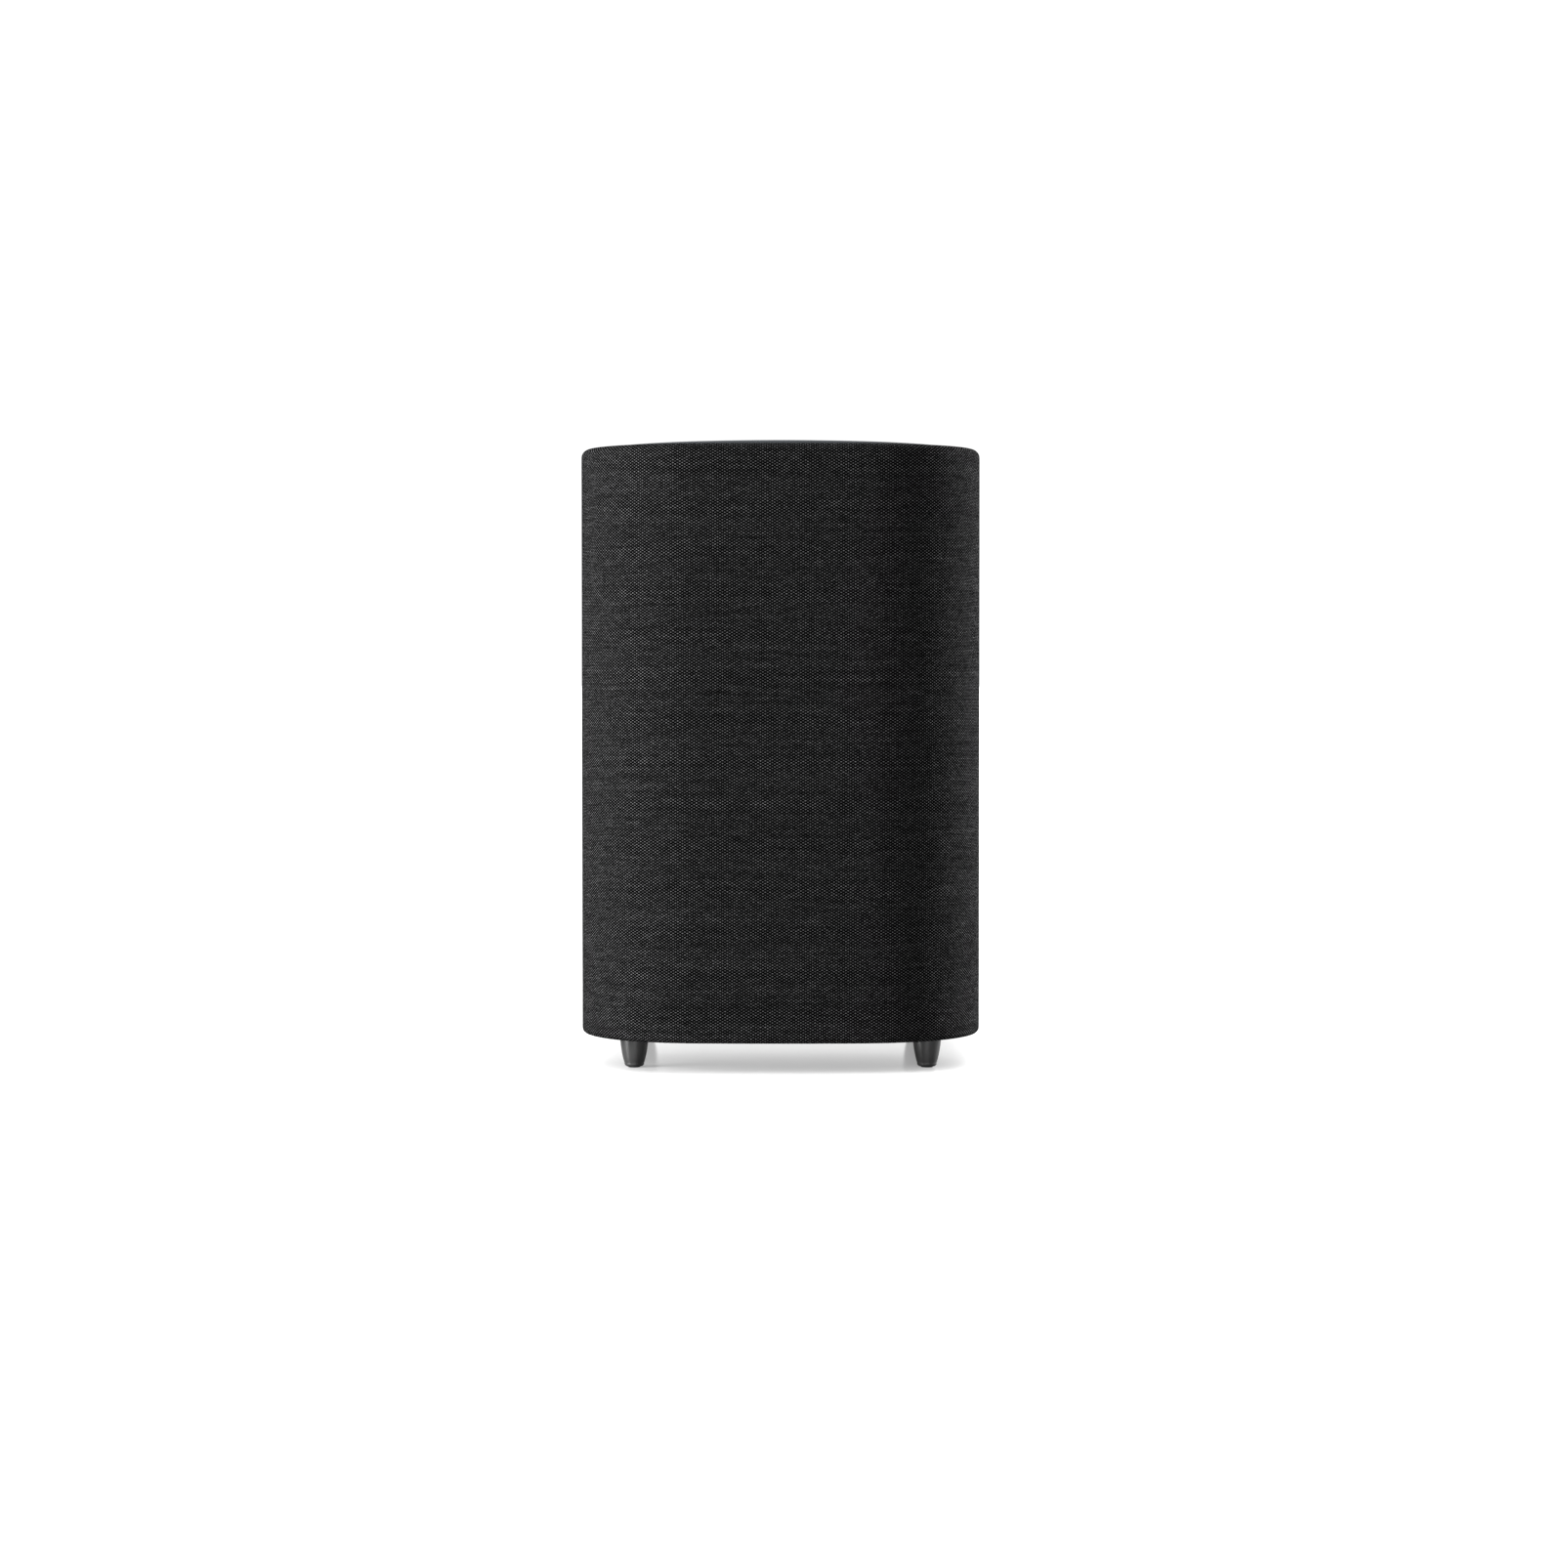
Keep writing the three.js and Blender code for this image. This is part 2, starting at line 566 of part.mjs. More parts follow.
function addRearPlate() {
  const proud = 1.3;
  const innerFace = 4;
  const through = [rearY - 10, rearY + 5];
  const plate = join(
    rearPatch(-proud, innerFace, 0.5, 14.5),
    rearPatch(-proud, -FIT_GAP, -2, 17),
    ...standoffs.map(([x, z]) => rodAlongY(3.4, BOARD_Y + BOARD + FIT_GAP, rearY - 3, x, z, 8)),
  );
  const holes = [
    rodAlongY(PORT_FLANGE + 0.6, portPocketY, rearY + 5, 0, PORT_Z, 24),
    rodAlongY(PORT_FLANGE - 2.5, ...through, 0, PORT_Z, 24),
    prismAlongY(roundedRectangle(27, 21, 3), inletPocketY, rearY + 5, 0, INLET_Z),
    prismAlongY(roundedRectangle(23, 17, 2), ...through, 0, INLET_Z),
    rodAlongY(5.4, ...through, 0, BUTTON_Z, 16),
    rodAlongY(1.9, ...through, 0, LIGHT_Z, 8),
    ...rearScrews.map(([x, z]) => rodAlongY(SCREW_HOLE, ...through, x, z, 6)),
  ];
  add('rear_plate', cut(plate, ...holes), casePlastic);

  const gasket = rearPatch(innerFace + 0.2, innerFace + 1.1, 1, 14);
  add('rear_gasket', cut(gasket, rearWindow(5, 10)), foam);

  const fastener = screw(3.4, 2, 5.6);
  rearScrews.forEach(([x, z], i) => {
    const bow = x ** 2 / (2 * FACE_BOW_RADIUS); // how far the bowed plate falls back at the screw
    const seatY = rearY + proud - bow + 0.2;
    add(`rear_screw_${i + 1}`, fastener, zinc, [x, seatY, z]).rotation.x = Math.PI / 2;
  });
}

// Flared port: mouth flange at z = 0, tube running down along -Z until it is turned to the back.
function addPort() {
  const [bore, mouth, wall, length] = [23.5, 31, 2, 116];
  const throatZ = -14;
  const flare = (widest, z0, z1) =>
    Array.from({ length: 4 }, (_, i) => {
      const angle = (i / 3) * (Math.PI / 2);
      return [widest - (widest - bore) * Math.sin(angle), z0 + (z1 - z0) * (1 - Math.cos(angle))];
    });
  const innerMouth = bore + 5;
  const profile = [
    [mouth + 3, 2.2],
    ...flare(mouth, 1.9, throatZ),
    ...flare(innerMouth, -length, -length + 10).reverse(),
    [innerMouth + wall, -length],
    [bore + wall, -length + 9],
    [bore + wall, throatZ],
    [mouth + wall, -1.5],
    [mouth + wall, 0],
    [PORT_FLANGE, 0],
    [PORT_FLANGE, 1.2],
  ];
  const seat = [0, portPocketY + FIT_GAP, PORT_Z];
  add('port_tube', revolve(profile, 20), casePlastic, seat).rotation.x = turnToBack;
}

// Two-pin appliance inlet: the figure-eight socket is two lobes that run into each other.
function addPowerInlet() {
  const pinPitch = 8.6;
  const lobe = 4.4;
  const lobeX = pinPitch / 2 - 0.6;
  const meet = Math.PI / 4;
  const socket = new THREE.Shape();
  socket.absarc(lobeX, 0, lobe, meet - Math.PI, Math.PI - meet);
  socket.absarc(-lobeX, 0, lobe, meet, 2 * Math.PI - meet);
  const floorY = rearY - 11;
  const flange = prismAlongY(roundedRectangle(26, 20, 2.6), inletPocketY + 0.2, rearY + 1.8, 0, INLET_Z);
  const barrel = prismAlongY(roundedRectangle(22, 16, 1.6), rearY - 22, rearY + 1, 0, INLET_Z);
  const hollow = cut(join(flange, barrel), prismAlongY(socket, floorY, rearY + 5, 0, INLET_Z));
  const pinPlaces = [-pinPitch / 2, pinPitch / 2];
  const pins = pinPlaces.map((x) => rodAlongY(1.15, floorY - 1, rearY - 1.5, x, INLET_Z, 8));
  add('power_inlet', join(hollow, ...pins), casePlastic);
}

// Both are turned parts with a flange behind the plate that keeps them from falling out.
function addButtonAndLight() {
  const flangeZ = 10.4;
  const button = [
    [0, 0],
    [2, 0],
    [2, flangeZ],
    [6.2, flangeZ],
    [6.2, flangeZ + 1.6],
    [4.9, flangeZ + 1.6],
    [4.9, 18.2],
    [4.1, 19],
    [0, 19],
  ];
  const buttonSeat = [0, rearY + REAR_OVERHANG - 19, BUTTON_Z];
  add('pairing_button', revolve(button, 16), footPlastic, buttonSeat).rotation.x = turnToBack;
  const light = [[0, 0], [1.5, 0], [1.5, 6.4], [2.4, 6.4], [2.4, 7.8], [1.5, 7.8], [1.5, 13.2], [0, 13.7]];
  const lightSeat = [0, rearY + 1.5 - 13.7, LIGHT_Z];
  add('status_light', revolve(light, 8), lightPipe, lightSeat).rotation.x = turnToBack;
}

// ---------- electronics ----------
function addBoards() {
  const main = box(-42, 42, BOARD_Y, BOARD_Y + BOARD, 70, 182);
  const holes = standoffs.map(([x, z]) => rodAlongY(1.6, BOARD_Y - 1, BOARD_Y + 3, x, z, 8));
  add('main_board', cut(main, ...holes), circuit);

  // The wireless board stands on a header and carries the switch behind the pairing button.
  const y = BOARD_Y + 8;
  const card = box(-22, 22, y, y + 1.2, 138, 170);
  const header = box(-16, 16, BOARD_Y + BOARD + FIT_GAP, y + 0.5, 139, 144);
  const switchBody = box(-3, 3, y + 1, y + 4.7, BUTTON_Z - 3, BUTTON_Z + 3);
  const switchTip = rodAlongY(1.7, y + 4, y + 5.8, 0, BUTTON_Z, 10);
  add('wireless_board', join(card, header, switchBody, switchTip), circuit);
}

const componentsY = BOARD_Y - FIT_GAP; // components stand on the main board's inner face

function addHeatSink() {
  const [left, pitch, count, fin, base, reach] = [-30, 8, 7, 2, 4, 22];
  const comb = new THREE.Shape();
  comb.moveTo(left, 0);
  for (let i = 0; i < count; i++) {
    const x = left + i * pitch;
    comb.lineTo(x, reach);
    comb.lineTo(x + fin, reach);
    if (i < count - 1) {
      comb.lineTo(x + fin, base);
      comb.lineTo(x + pitch, base);
    }
  }
  comb.lineTo(left + (count - 1) * pitch + fin, 0);
  const extrusion = new THREE.ExtrudeGeometry(comb, { depth: 50, bevelEnabled: false });
  add('heat_sink', extrusion, aluminium, [0, componentsY, 174]).rotation.x = Math.PI;
}

function addPowerParts() {
  const winding = box(6, 38, componentsY - 22, componentsY - 2, 84, 110);
  const core = box(11, 33, componentsY - 27, componentsY, 80, 114);
  add('power_transformer', join(winding, core), ferrite);
  for (const [side, x] of [['left', -30], ['right', -9]]) {
    add(`capacitor_${side}`, rodAlongY(9, componentsY - 32, componentsY, x, 90, 14), sleeveBlue);
  }
}

function addSpeakerCable() {
  const path = new THREE.CatmullRomCurve3([
    new THREE.Vector3(-34, componentsY - 3, 114),
    new THREE.Vector3(-44, componentsY - 10, 110),
    new THREE.Vector3(-58, 78, 104),
    new THREE.Vector3(-58, 62, 96),
    new THREE.Vector3(-51, 51, 89),
  ]);
  const section = new THREE.Shape().absarc(0, 0, 1.9, 0, 2 * Math.PI);
  const cable = new THREE.ExtrudeGeometry(section, { steps: 14, extrudePath: path, curveSegments: 4 });
  add('speaker_cable', cable, rubber);
}

addFeet();
addFabricSleeve();
addCabinet();
addDampingPads();
addTopCover();
addBase();
addBasket();
addFlangeTrim();
addSurround();
addMovingAssembly();
addSpider();
addMagnetSystem();
addTerminal();
addRearPlate();
addPort();
addPowerInlet();
addButtonAndLight();
addBoards();
addHeatSink();
addPowerParts();
addSpeakerCable();

export default root;
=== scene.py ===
"""Looks of a compact wireless subwoofer, built round its CAD frame. Metres, +Z up, the front faces -Y."""
import json
import math
import random
from collections import namedtuple

import bmesh
import bpy
from mathutils import Matrix, Vector, noise
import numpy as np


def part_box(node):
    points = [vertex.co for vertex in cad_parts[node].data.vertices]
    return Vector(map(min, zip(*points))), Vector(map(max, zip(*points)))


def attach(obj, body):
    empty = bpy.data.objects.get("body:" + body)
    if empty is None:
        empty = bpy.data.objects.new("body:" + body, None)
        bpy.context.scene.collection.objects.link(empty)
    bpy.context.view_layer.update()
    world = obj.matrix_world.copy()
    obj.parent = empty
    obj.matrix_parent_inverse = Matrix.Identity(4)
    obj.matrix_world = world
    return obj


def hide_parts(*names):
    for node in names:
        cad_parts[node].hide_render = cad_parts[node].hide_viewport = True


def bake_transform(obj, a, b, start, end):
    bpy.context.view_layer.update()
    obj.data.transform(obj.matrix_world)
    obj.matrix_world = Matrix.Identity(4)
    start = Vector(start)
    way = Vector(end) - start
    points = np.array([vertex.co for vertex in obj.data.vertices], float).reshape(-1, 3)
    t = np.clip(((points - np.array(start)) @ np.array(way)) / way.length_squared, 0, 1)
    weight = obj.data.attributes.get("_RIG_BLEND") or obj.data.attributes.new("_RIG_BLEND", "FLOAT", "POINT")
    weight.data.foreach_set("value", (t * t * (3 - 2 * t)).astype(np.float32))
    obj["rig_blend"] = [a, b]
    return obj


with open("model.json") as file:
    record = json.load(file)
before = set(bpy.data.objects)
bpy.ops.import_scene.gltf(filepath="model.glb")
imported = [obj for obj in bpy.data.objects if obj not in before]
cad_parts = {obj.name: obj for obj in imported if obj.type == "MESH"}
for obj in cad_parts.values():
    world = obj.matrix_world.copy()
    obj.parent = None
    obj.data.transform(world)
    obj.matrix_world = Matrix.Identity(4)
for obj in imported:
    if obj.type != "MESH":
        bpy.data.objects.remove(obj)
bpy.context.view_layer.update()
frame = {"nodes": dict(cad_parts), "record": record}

MM = 0.001
SLOT_OF = {part["node"]: part["material_slot"] for part in frame["record"]["subparts"]}



# ---------- measures taken from the frame ----------
Triple = namedtuple("Triple", "x y z")


def middle(node):
    return Triple(*[(low + high) / 2 for low, high in zip(*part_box(node))])


def size(node):
    return Triple(*[high - low for low, high in zip(*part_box(node))])


SLEEVE_LO, SLEEVE_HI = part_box("fabric_sleeve")
HALF_WIDTH, HALF_DEPTH, _ = [extent / 2 for extent in size("fabric_sleeve")]
MIDDLE_Y = middle("fabric_sleeve").y
BODY_BOTTOM, BODY_TOP = SLEEVE_LO.z, SLEEVE_HI.z
REAR_LO, REAR_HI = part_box("rear_plate")
PLATE_Z = middle("rear_plate").z
PLATE_WIDTH, _, PLATE_HEIGHT = size("rear_plate")
INLET_LO, INLET_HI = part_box("power_inlet")
PORT_Z = middle("port_tube").z
INLET_Z = middle("power_inlet").z
BUTTON_Z = middle("pairing_button").z
LIGHT_Z = middle("status_light").z
BOARD_LO, BOARD_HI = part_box("main_board")
CONE_LO, CONE_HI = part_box("cone")
CONE_EDGE = CONE_HI.x
WOOFER_Y = middle("cone").y
BASE_SCREWS = [f"base_screw_{k}" for k in range(1, 5)]
WOOFER_SCREWS = [f"woofer_screw_{k}" for k in range(1, 7)]
REAR_SCREWS = [f"rear_screw_{k}" for k in range(1, 5)]
FEET = ["front_left", "front_right", "rear_left", "rear_right"]

# The plan's own numbers, as in the CAD source: corner arcs tangent to bowed faces and bowed sides.
CORNER_RADIUS = 75 * MM
FACE_BOW = 715 * MM
SIDE_BOW = 1300 * MM
TOP_EDGE = 5 * MM
BOTTOM_EDGE = 3.5 * MM
CLOTH = 1.5 * MM
COIL_RADIUS = 19.3 * MM  # middle of the voice coil's former
BOARD_HOLES = [(side * 38 * MM, z * MM) for side in (-1, 1) for z in (76, 176)]


# ---------- plan of the cabinet ----------
Station = namedtuple("Station", "x y radius angle along")


def corner_centre():
    x, y = HALF_WIDTH - CORNER_RADIUS, HALF_DEPTH - CORNER_RADIUS
    for _ in range(20):
        face_reach = math.sqrt((FACE_BOW - CORNER_RADIUS) ** 2 - x**2)
        side_reach = math.sqrt((SIDE_BOW - CORNER_RADIUS) ** 2 - y**2)
        y = HALF_DEPTH - FACE_BOW + face_reach
        x = HALF_WIDTH - SIDE_BOW + side_reach
    return x, y


def plan_stations(spacing=3 * MM):
    """Places round the plan from the middle of the back, anticlockwise from above, and the whole length."""
    cx, cy = corner_centre()
    face_y, side_x = HALF_DEPTH - FACE_BOW, HALF_WIDTH - SIDE_BOW
    face = math.atan2(cy - face_y, cx)
    side = math.atan2(cy, cx - side_x)
    turn, half = 2 * math.pi, math.pi
    arcs = [
        (0, face_y, FACE_BOW, half / 2, half - face),
        (-cx, cy, CORNER_RADIUS, half - face, half - side),
        (-side_x, 0, SIDE_BOW, half - side, half + side),
        (-cx, -cy, CORNER_RADIUS, half + side, half + face),
        (0, -face_y, FACE_BOW, half + face, turn - face),
        (cx, -cy, CORNER_RADIUS, turn - face, turn - side),
        (side_x, 0, SIDE_BOW, -side, side),
        (cx, cy, CORNER_RADIUS, side, face),
        (0, face_y, FACE_BOW, face, half / 2),
    ]
    stations, along = [], 0.0
    for x, y, radius, start, end in arcs:
        length = radius * (end - start)
        steps = math.ceil(length / spacing)
        for share in [k / steps for k in range(steps)]:
            stations.append(Station(x, y, radius, start + (end - start) * share, along + length * share))
        along += length
    return stations, along


def on_plan(station, inset, z):
    reach = station.radius - inset
    x = station.x + reach * math.cos(station.angle)
    y = station.y + reach * math.sin(station.angle) + MIDDLE_Y
    return Vector((x, y, z))


def back_face_y(x, inset=0.0):
    """Where the back face is at x: the wide bow, then the corner's arc."""
    cx, cy = corner_centre()
    if abs(x) < cx * (FACE_BOW - inset) / (FACE_BOW - CORNER_RADIUS):
        return MIDDLE_Y + (HALF_DEPTH - FACE_BOW) + math.sqrt((FACE_BOW - inset) ** 2 - x**2)
    return MIDDLE_Y + cy + math.sqrt((CORNER_RADIUS - inset) ** 2 - (abs(x) - cx) ** 2)


# ---------- outlines and profiles ----------
def mm(points):
    """Points given in millimetres."""
    return [tuple(value * MM for value in point) for point in points]


def arc(x, y, radius, start, end, steps):
    """Points on an arc, angles in degrees."""
    angles = [math.radians(start + (end - start) * k / steps) for k in range(steps + 1)]
    return [(x + radius * math.cos(a), y + radius * math.sin(a)) for a in angles]


def fillet(points, radius=0, steps=4):
    """The closed outline with its corners rounded. A point may carry its own radius as a third number."""
    out = []
    for k, point in enumerate(points):
        r = point[2] if len(point) > 2 else radius
        here = Vector(point[:2])
        if r == 0:
            out.append(tuple(here))
            continue
        to_before = Vector(points[k - 1][:2]) - here
        to_after = Vector(points[(k + 1) % len(points)][:2]) - here
        half = to_before.angle(to_after) / 2
        if half > math.radians(88):
            out.append(tuple(here))
            continue
        reach = min(r / math.tan(half), 0.49 * to_before.length, 0.49 * to_after.length)
        bisector = (to_before.normalized() + to_after.normalized()).normalized()
        centre = here + bisector * (reach / math.cos(half))
        first = here + to_before.normalized() * reach - centre
        end = here + to_after.normalized() * reach - centre
        sweep = math.copysign(math.pi - 2 * half, first.cross(end))
        out += [tuple(centre + Matrix.Rotation(sweep * s / steps, 2) @ first) for s in range(steps + 1)]
    return out


def rectangle(width, height, radius, x=0.0, y=0.0, steps=8):
    w, h = width / 2, height / 2
    corners = [(x - w, y - h), (x + w, y - h), (x + w, y + h), (x - w, y + h)]
    return fillet(corners, radius, steps)


# ---------- meshes ----------
def mesh_of(vertices, faces):
    mesh = bpy.data.meshes.new("mesh")
    mesh.from_pydata([tuple(v) for v in vertices], [], faces)
    mesh.update()
    return mesh


def grid_mesh(grid, wrap_i=False, wrap_j=False, uv=None):
    """Quads over grid[i][j], joined end to start where it wraps; uv(i, j) gives metres of cloth."""
    ni, nj = len(grid), len(grid[0])
    faces, corners = [], []
    for i in range(ni if wrap_i else ni - 1):
        for j in range(nj if wrap_j else nj - 1):
            i2, j2 = (i + 1) % ni, (j + 1) % nj
            faces.append((i * nj + j, i2 * nj + j, i2 * nj + j2, i * nj + j2))
            corners += [(i, j), (i + 1, j), (i + 1, j + 1), (i, j + 1)]
    mesh = mesh_of([p for column in grid for p in column], faces)
    if uv:
        layer = mesh.uv_layers.new(name="cloth")
        for slot, (i, j) in zip(layer.data, corners):
            slot.uv = uv(i, j)
    return mesh


def tidy_mesh(mesh):
    """Merges coincident vertices, drops slivers and points every face outwards."""
    bm = bmesh.new()
    bm.from_mesh(mesh)
    bmesh.ops.remove_doubles(bm, verts=bm.verts, dist=1e-7)
    bmesh.ops.dissolve_degenerate(bm, edges=bm.edges, dist=1e-7)
    bmesh.ops.recalc_face_normals(bm, faces=bm.faces)
    bm.to_mesh(mesh)
    bm.free()
    return mesh


def close_ends(mesh, ni, nj):
    """Caps the first and the last ring of an open loft."""
    bm = bmesh.new()
    bm.from_mesh(mesh)
    bm.verts.ensure_lookup_table()
    for j in (0, nj - 1):
        bm.faces.new([bm.verts[i * nj + j] for i in range(ni)])
    bm.to_mesh(mesh)
    bm.free()


def lathe_mesh(profile, segments=96):
    """The profile of (radius, z) points turned about Z; it closes on itself, or on the axis at both ends."""
    angles = [2 * math.pi * k / segments for k in range(segments)]
    grid = [[Vector((r * math.cos(a), r * math.sin(a), z)) for r, z in profile] for a in angles]
    open_on_axis = profile[0][0] < 1e-9 and profile[-1][0] < 1e-9
    return tidy_mesh(grid_mesh(grid, True, not open_on_axis))


def rod(radius, z0, z1, segments=40):
    return lathe_mesh([(0, z0), (radius, z0), (radius, z1), (0, z1)], segments)


def prism_mesh(outline, y0, y1):
    """A prism along Y whose outline is a list of (x, z)."""
    n = len(outline)
    vertices = [(x, y, z) for y in (y0, y1) for x, z in outline]
    sides = [(k, (k + 1) % n, n + (k + 1) % n, n + k) for k in range(n)]
    return tidy_mesh(mesh_of(vertices, [tuple(range(n)), tuple(range(n, 2 * n)), *sides]))


def over(mesh, node):
    """Moves a mesh modelled about Z over the middle of a CAD node."""
    mesh.transform(Matrix.Translation((middle(node).x, middle(node).y, 0)))
    return mesh


def turned_to_y(mesh, x, y, z):
    """A mesh modelled about Z is turned so that its top faces +Y, and set down at (x, y, z)."""
    mesh.transform(Matrix.Translation((x, y, z)) @ Matrix.Rotation(-math.pi / 2, 4, "X"))
    return mesh


def disc_along_y(radius, y0, y1, x, z, segments=96):
    return turned_to_y(rod(radius, 0, y1 - y0, segments), x, y0, z)


def link(name, data):
    data.name = name
    piece = bpy.data.objects.new(name, data)
    bpy.context.scene.collection.objects.link(piece)
    return piece


def mesh_from(piece):
    """Takes the mesh of a helper object and removes the object."""
    mesh = piece.data
    bpy.data.objects.remove(piece)
    return mesh


def apply_modifiers(piece):
    graph = bpy.context.evaluated_depsgraph_get()
    graph.update()
    mesh = bpy.data.meshes.new_from_object(piece.evaluated_get(graph), depsgraph=graph)
    old = piece.data
    piece.modifiers.clear()
    piece.data = mesh
    bpy.data.meshes.remove(old)
    return piece


def modify(piece, kind, **settings):
    """Adds a modifier with these settings and applies it."""
    modifier = piece.modifiers.new(kind.lower(), kind)
    for key, value in settings.items():
        setattr(modifier, key, value)
    return apply_modifiers(piece)


def combine(piece, tools, operation="DIFFERENCE"):
    for tool in tools:
        cutter = link("cutter", tool)
        modify(piece, "BOOLEAN", operation=operation, solver="EXACT", object=cutter)
        bpy.data.objects.remove(cutter)
    return piece


def bevel(piece, width, segments=2, angle=35):
    limit = {"limit_method": "ANGLE", "angle_limit": math.radians(angle), "use_clamp_overlap": True}
    return modify(piece, "BEVEL", width=width, segments=segments, **limit)


def smooth(piece, angle=40):
    """Smooth shading that breaks at sharp edges."""
    piece.data.shade_smooth()
    piece.data.set_sharp_from_angle(angle=math.radians(angle))
    return piece


def keep_flat(piece, axis, least=0.995):
    """Flat shading on the broad faces square to one axis (0, 1 or 2), smooth shading on the rest."""
    for face in piece.data.polygons:
        face.use_smooth = abs(face.normal[axis]) < least
    return piece


# ---------- materials ----------
class Finish:
    """A Principled material with short calls for its node tree. Patterns lie in object coordinates."""

    def __init__(self, name, **settings):
        self.material = bpy.data.materials.new(name)
        self.material.use_nodes = True
        self.tree = self.material.node_tree
        self.shader = self.tree.nodes["Principled BSDF"]
        self.set(**settings)

    def put(self, socket, value):
        if isinstance(value, bpy.types.NodeSocket):
            self.tree.links.new(value, socket)
        else:
            socket.default_value = value

    def set(self, **settings):
        """Sets the shader's inputs, base_color for Base Color, and returns the material."""
        for key, value in settings.items():
            self.put(self.shader.inputs[key.replace("_", " ").title().replace("Ior", "IOR")], value)
        return self.material

    def node(self, kind, inputs=(), **properties):
        made = self.tree.nodes.new("ShaderNode" + kind)
        for key, value in properties.items():
            setattr(made, key, value)
        for key, value in dict(inputs).items():
            self.put(made.inputs[key], value)
        return made

    def math(self, operation, a, b=0.0, clamp=False):
        return self.node("Math", {0: a, 1: b}, operation=operation, use_clamp=clamp).outputs[0]

    def times(self, a, b):
        return self.math("MULTIPLY", a, b)

    def plus(self, a, b):
        return self.math("ADD", a, b)

    def minus(self, a, b, clamp=False):
        return self.math("SUBTRACT", a, b, clamp)

    def vector(self, x=0.0, y=0.0, z=0.0):
        return self.node("CombineXYZ", {0: x, 1: y, 2: z}).outputs[0]

    def place(self):
        return self.node("TexCoord").outputs["Object"]

    def stretched(self, x, y, z):
        return self.node("Mapping", {"Vector": self.place(), "Scale": (x, y, z)}).outputs[0]

    def noise(self, scale, detail=2.0, roughness=0.5, at=None):
        inputs = {"Vector": at or self.place(), "Scale": scale, "Detail": detail, "Roughness": roughness}
        return self.node("TexNoise", inputs).outputs[0]

    def cells(self, scale, at=None, feature="F1"):
        inputs = {"Vector": at or self.place(), "Scale": scale}
        return self.node("TexVoronoi", inputs, feature=feature).outputs[0]

    def waves(self, scale, way):
        inputs = {"Vector": self.place(), "Scale": scale}
        return self.node("TexWave", inputs, bands_direction=way).outputs[1]

    def span(self, value, low, high, to_low=0.0, to_high=1.0):
        inputs = {"Value": value, "From Min": low, "From Max": high, "To Min": to_low, "To Max": to_high}
        return self.node("MapRange", inputs, clamp=True).outputs[0]

    def mix(self, share, a, b):
        return self.node("Mix", {0: share, 6: a, 7: b}, data_type="RGBA").outputs[2]

    def bump(self, height, depth, strength=1.0):
        return self.node("Bump", {"Height": height, "Distance": depth, "Strength": strength}).outputs[0]

    def mottled(self, cloud, tones, relief, depth, strength=0.5, reach=(0.3, 0.7), rough=None, rough_by=None):
        """Two tones by a slow cloud, two roughnesses by it or by another pattern, and a fine relief."""
        if rough:
            self.set(roughness=self.span(rough_by or cloud, 0.3, 0.7, *rough))
        tone = self.mix(self.span(cloud, *reach), *tones)
        return self.set(base_color=tone, normal=self.bump(relief, depth, strength))


def grey(value, blue=0.0):
    return (value, value * (1 + blue / 2), value * (1 + blue), 1.0)


WARP_PITCH = 1.39 * MM
WEFT_PITCH = 0.85 * MM


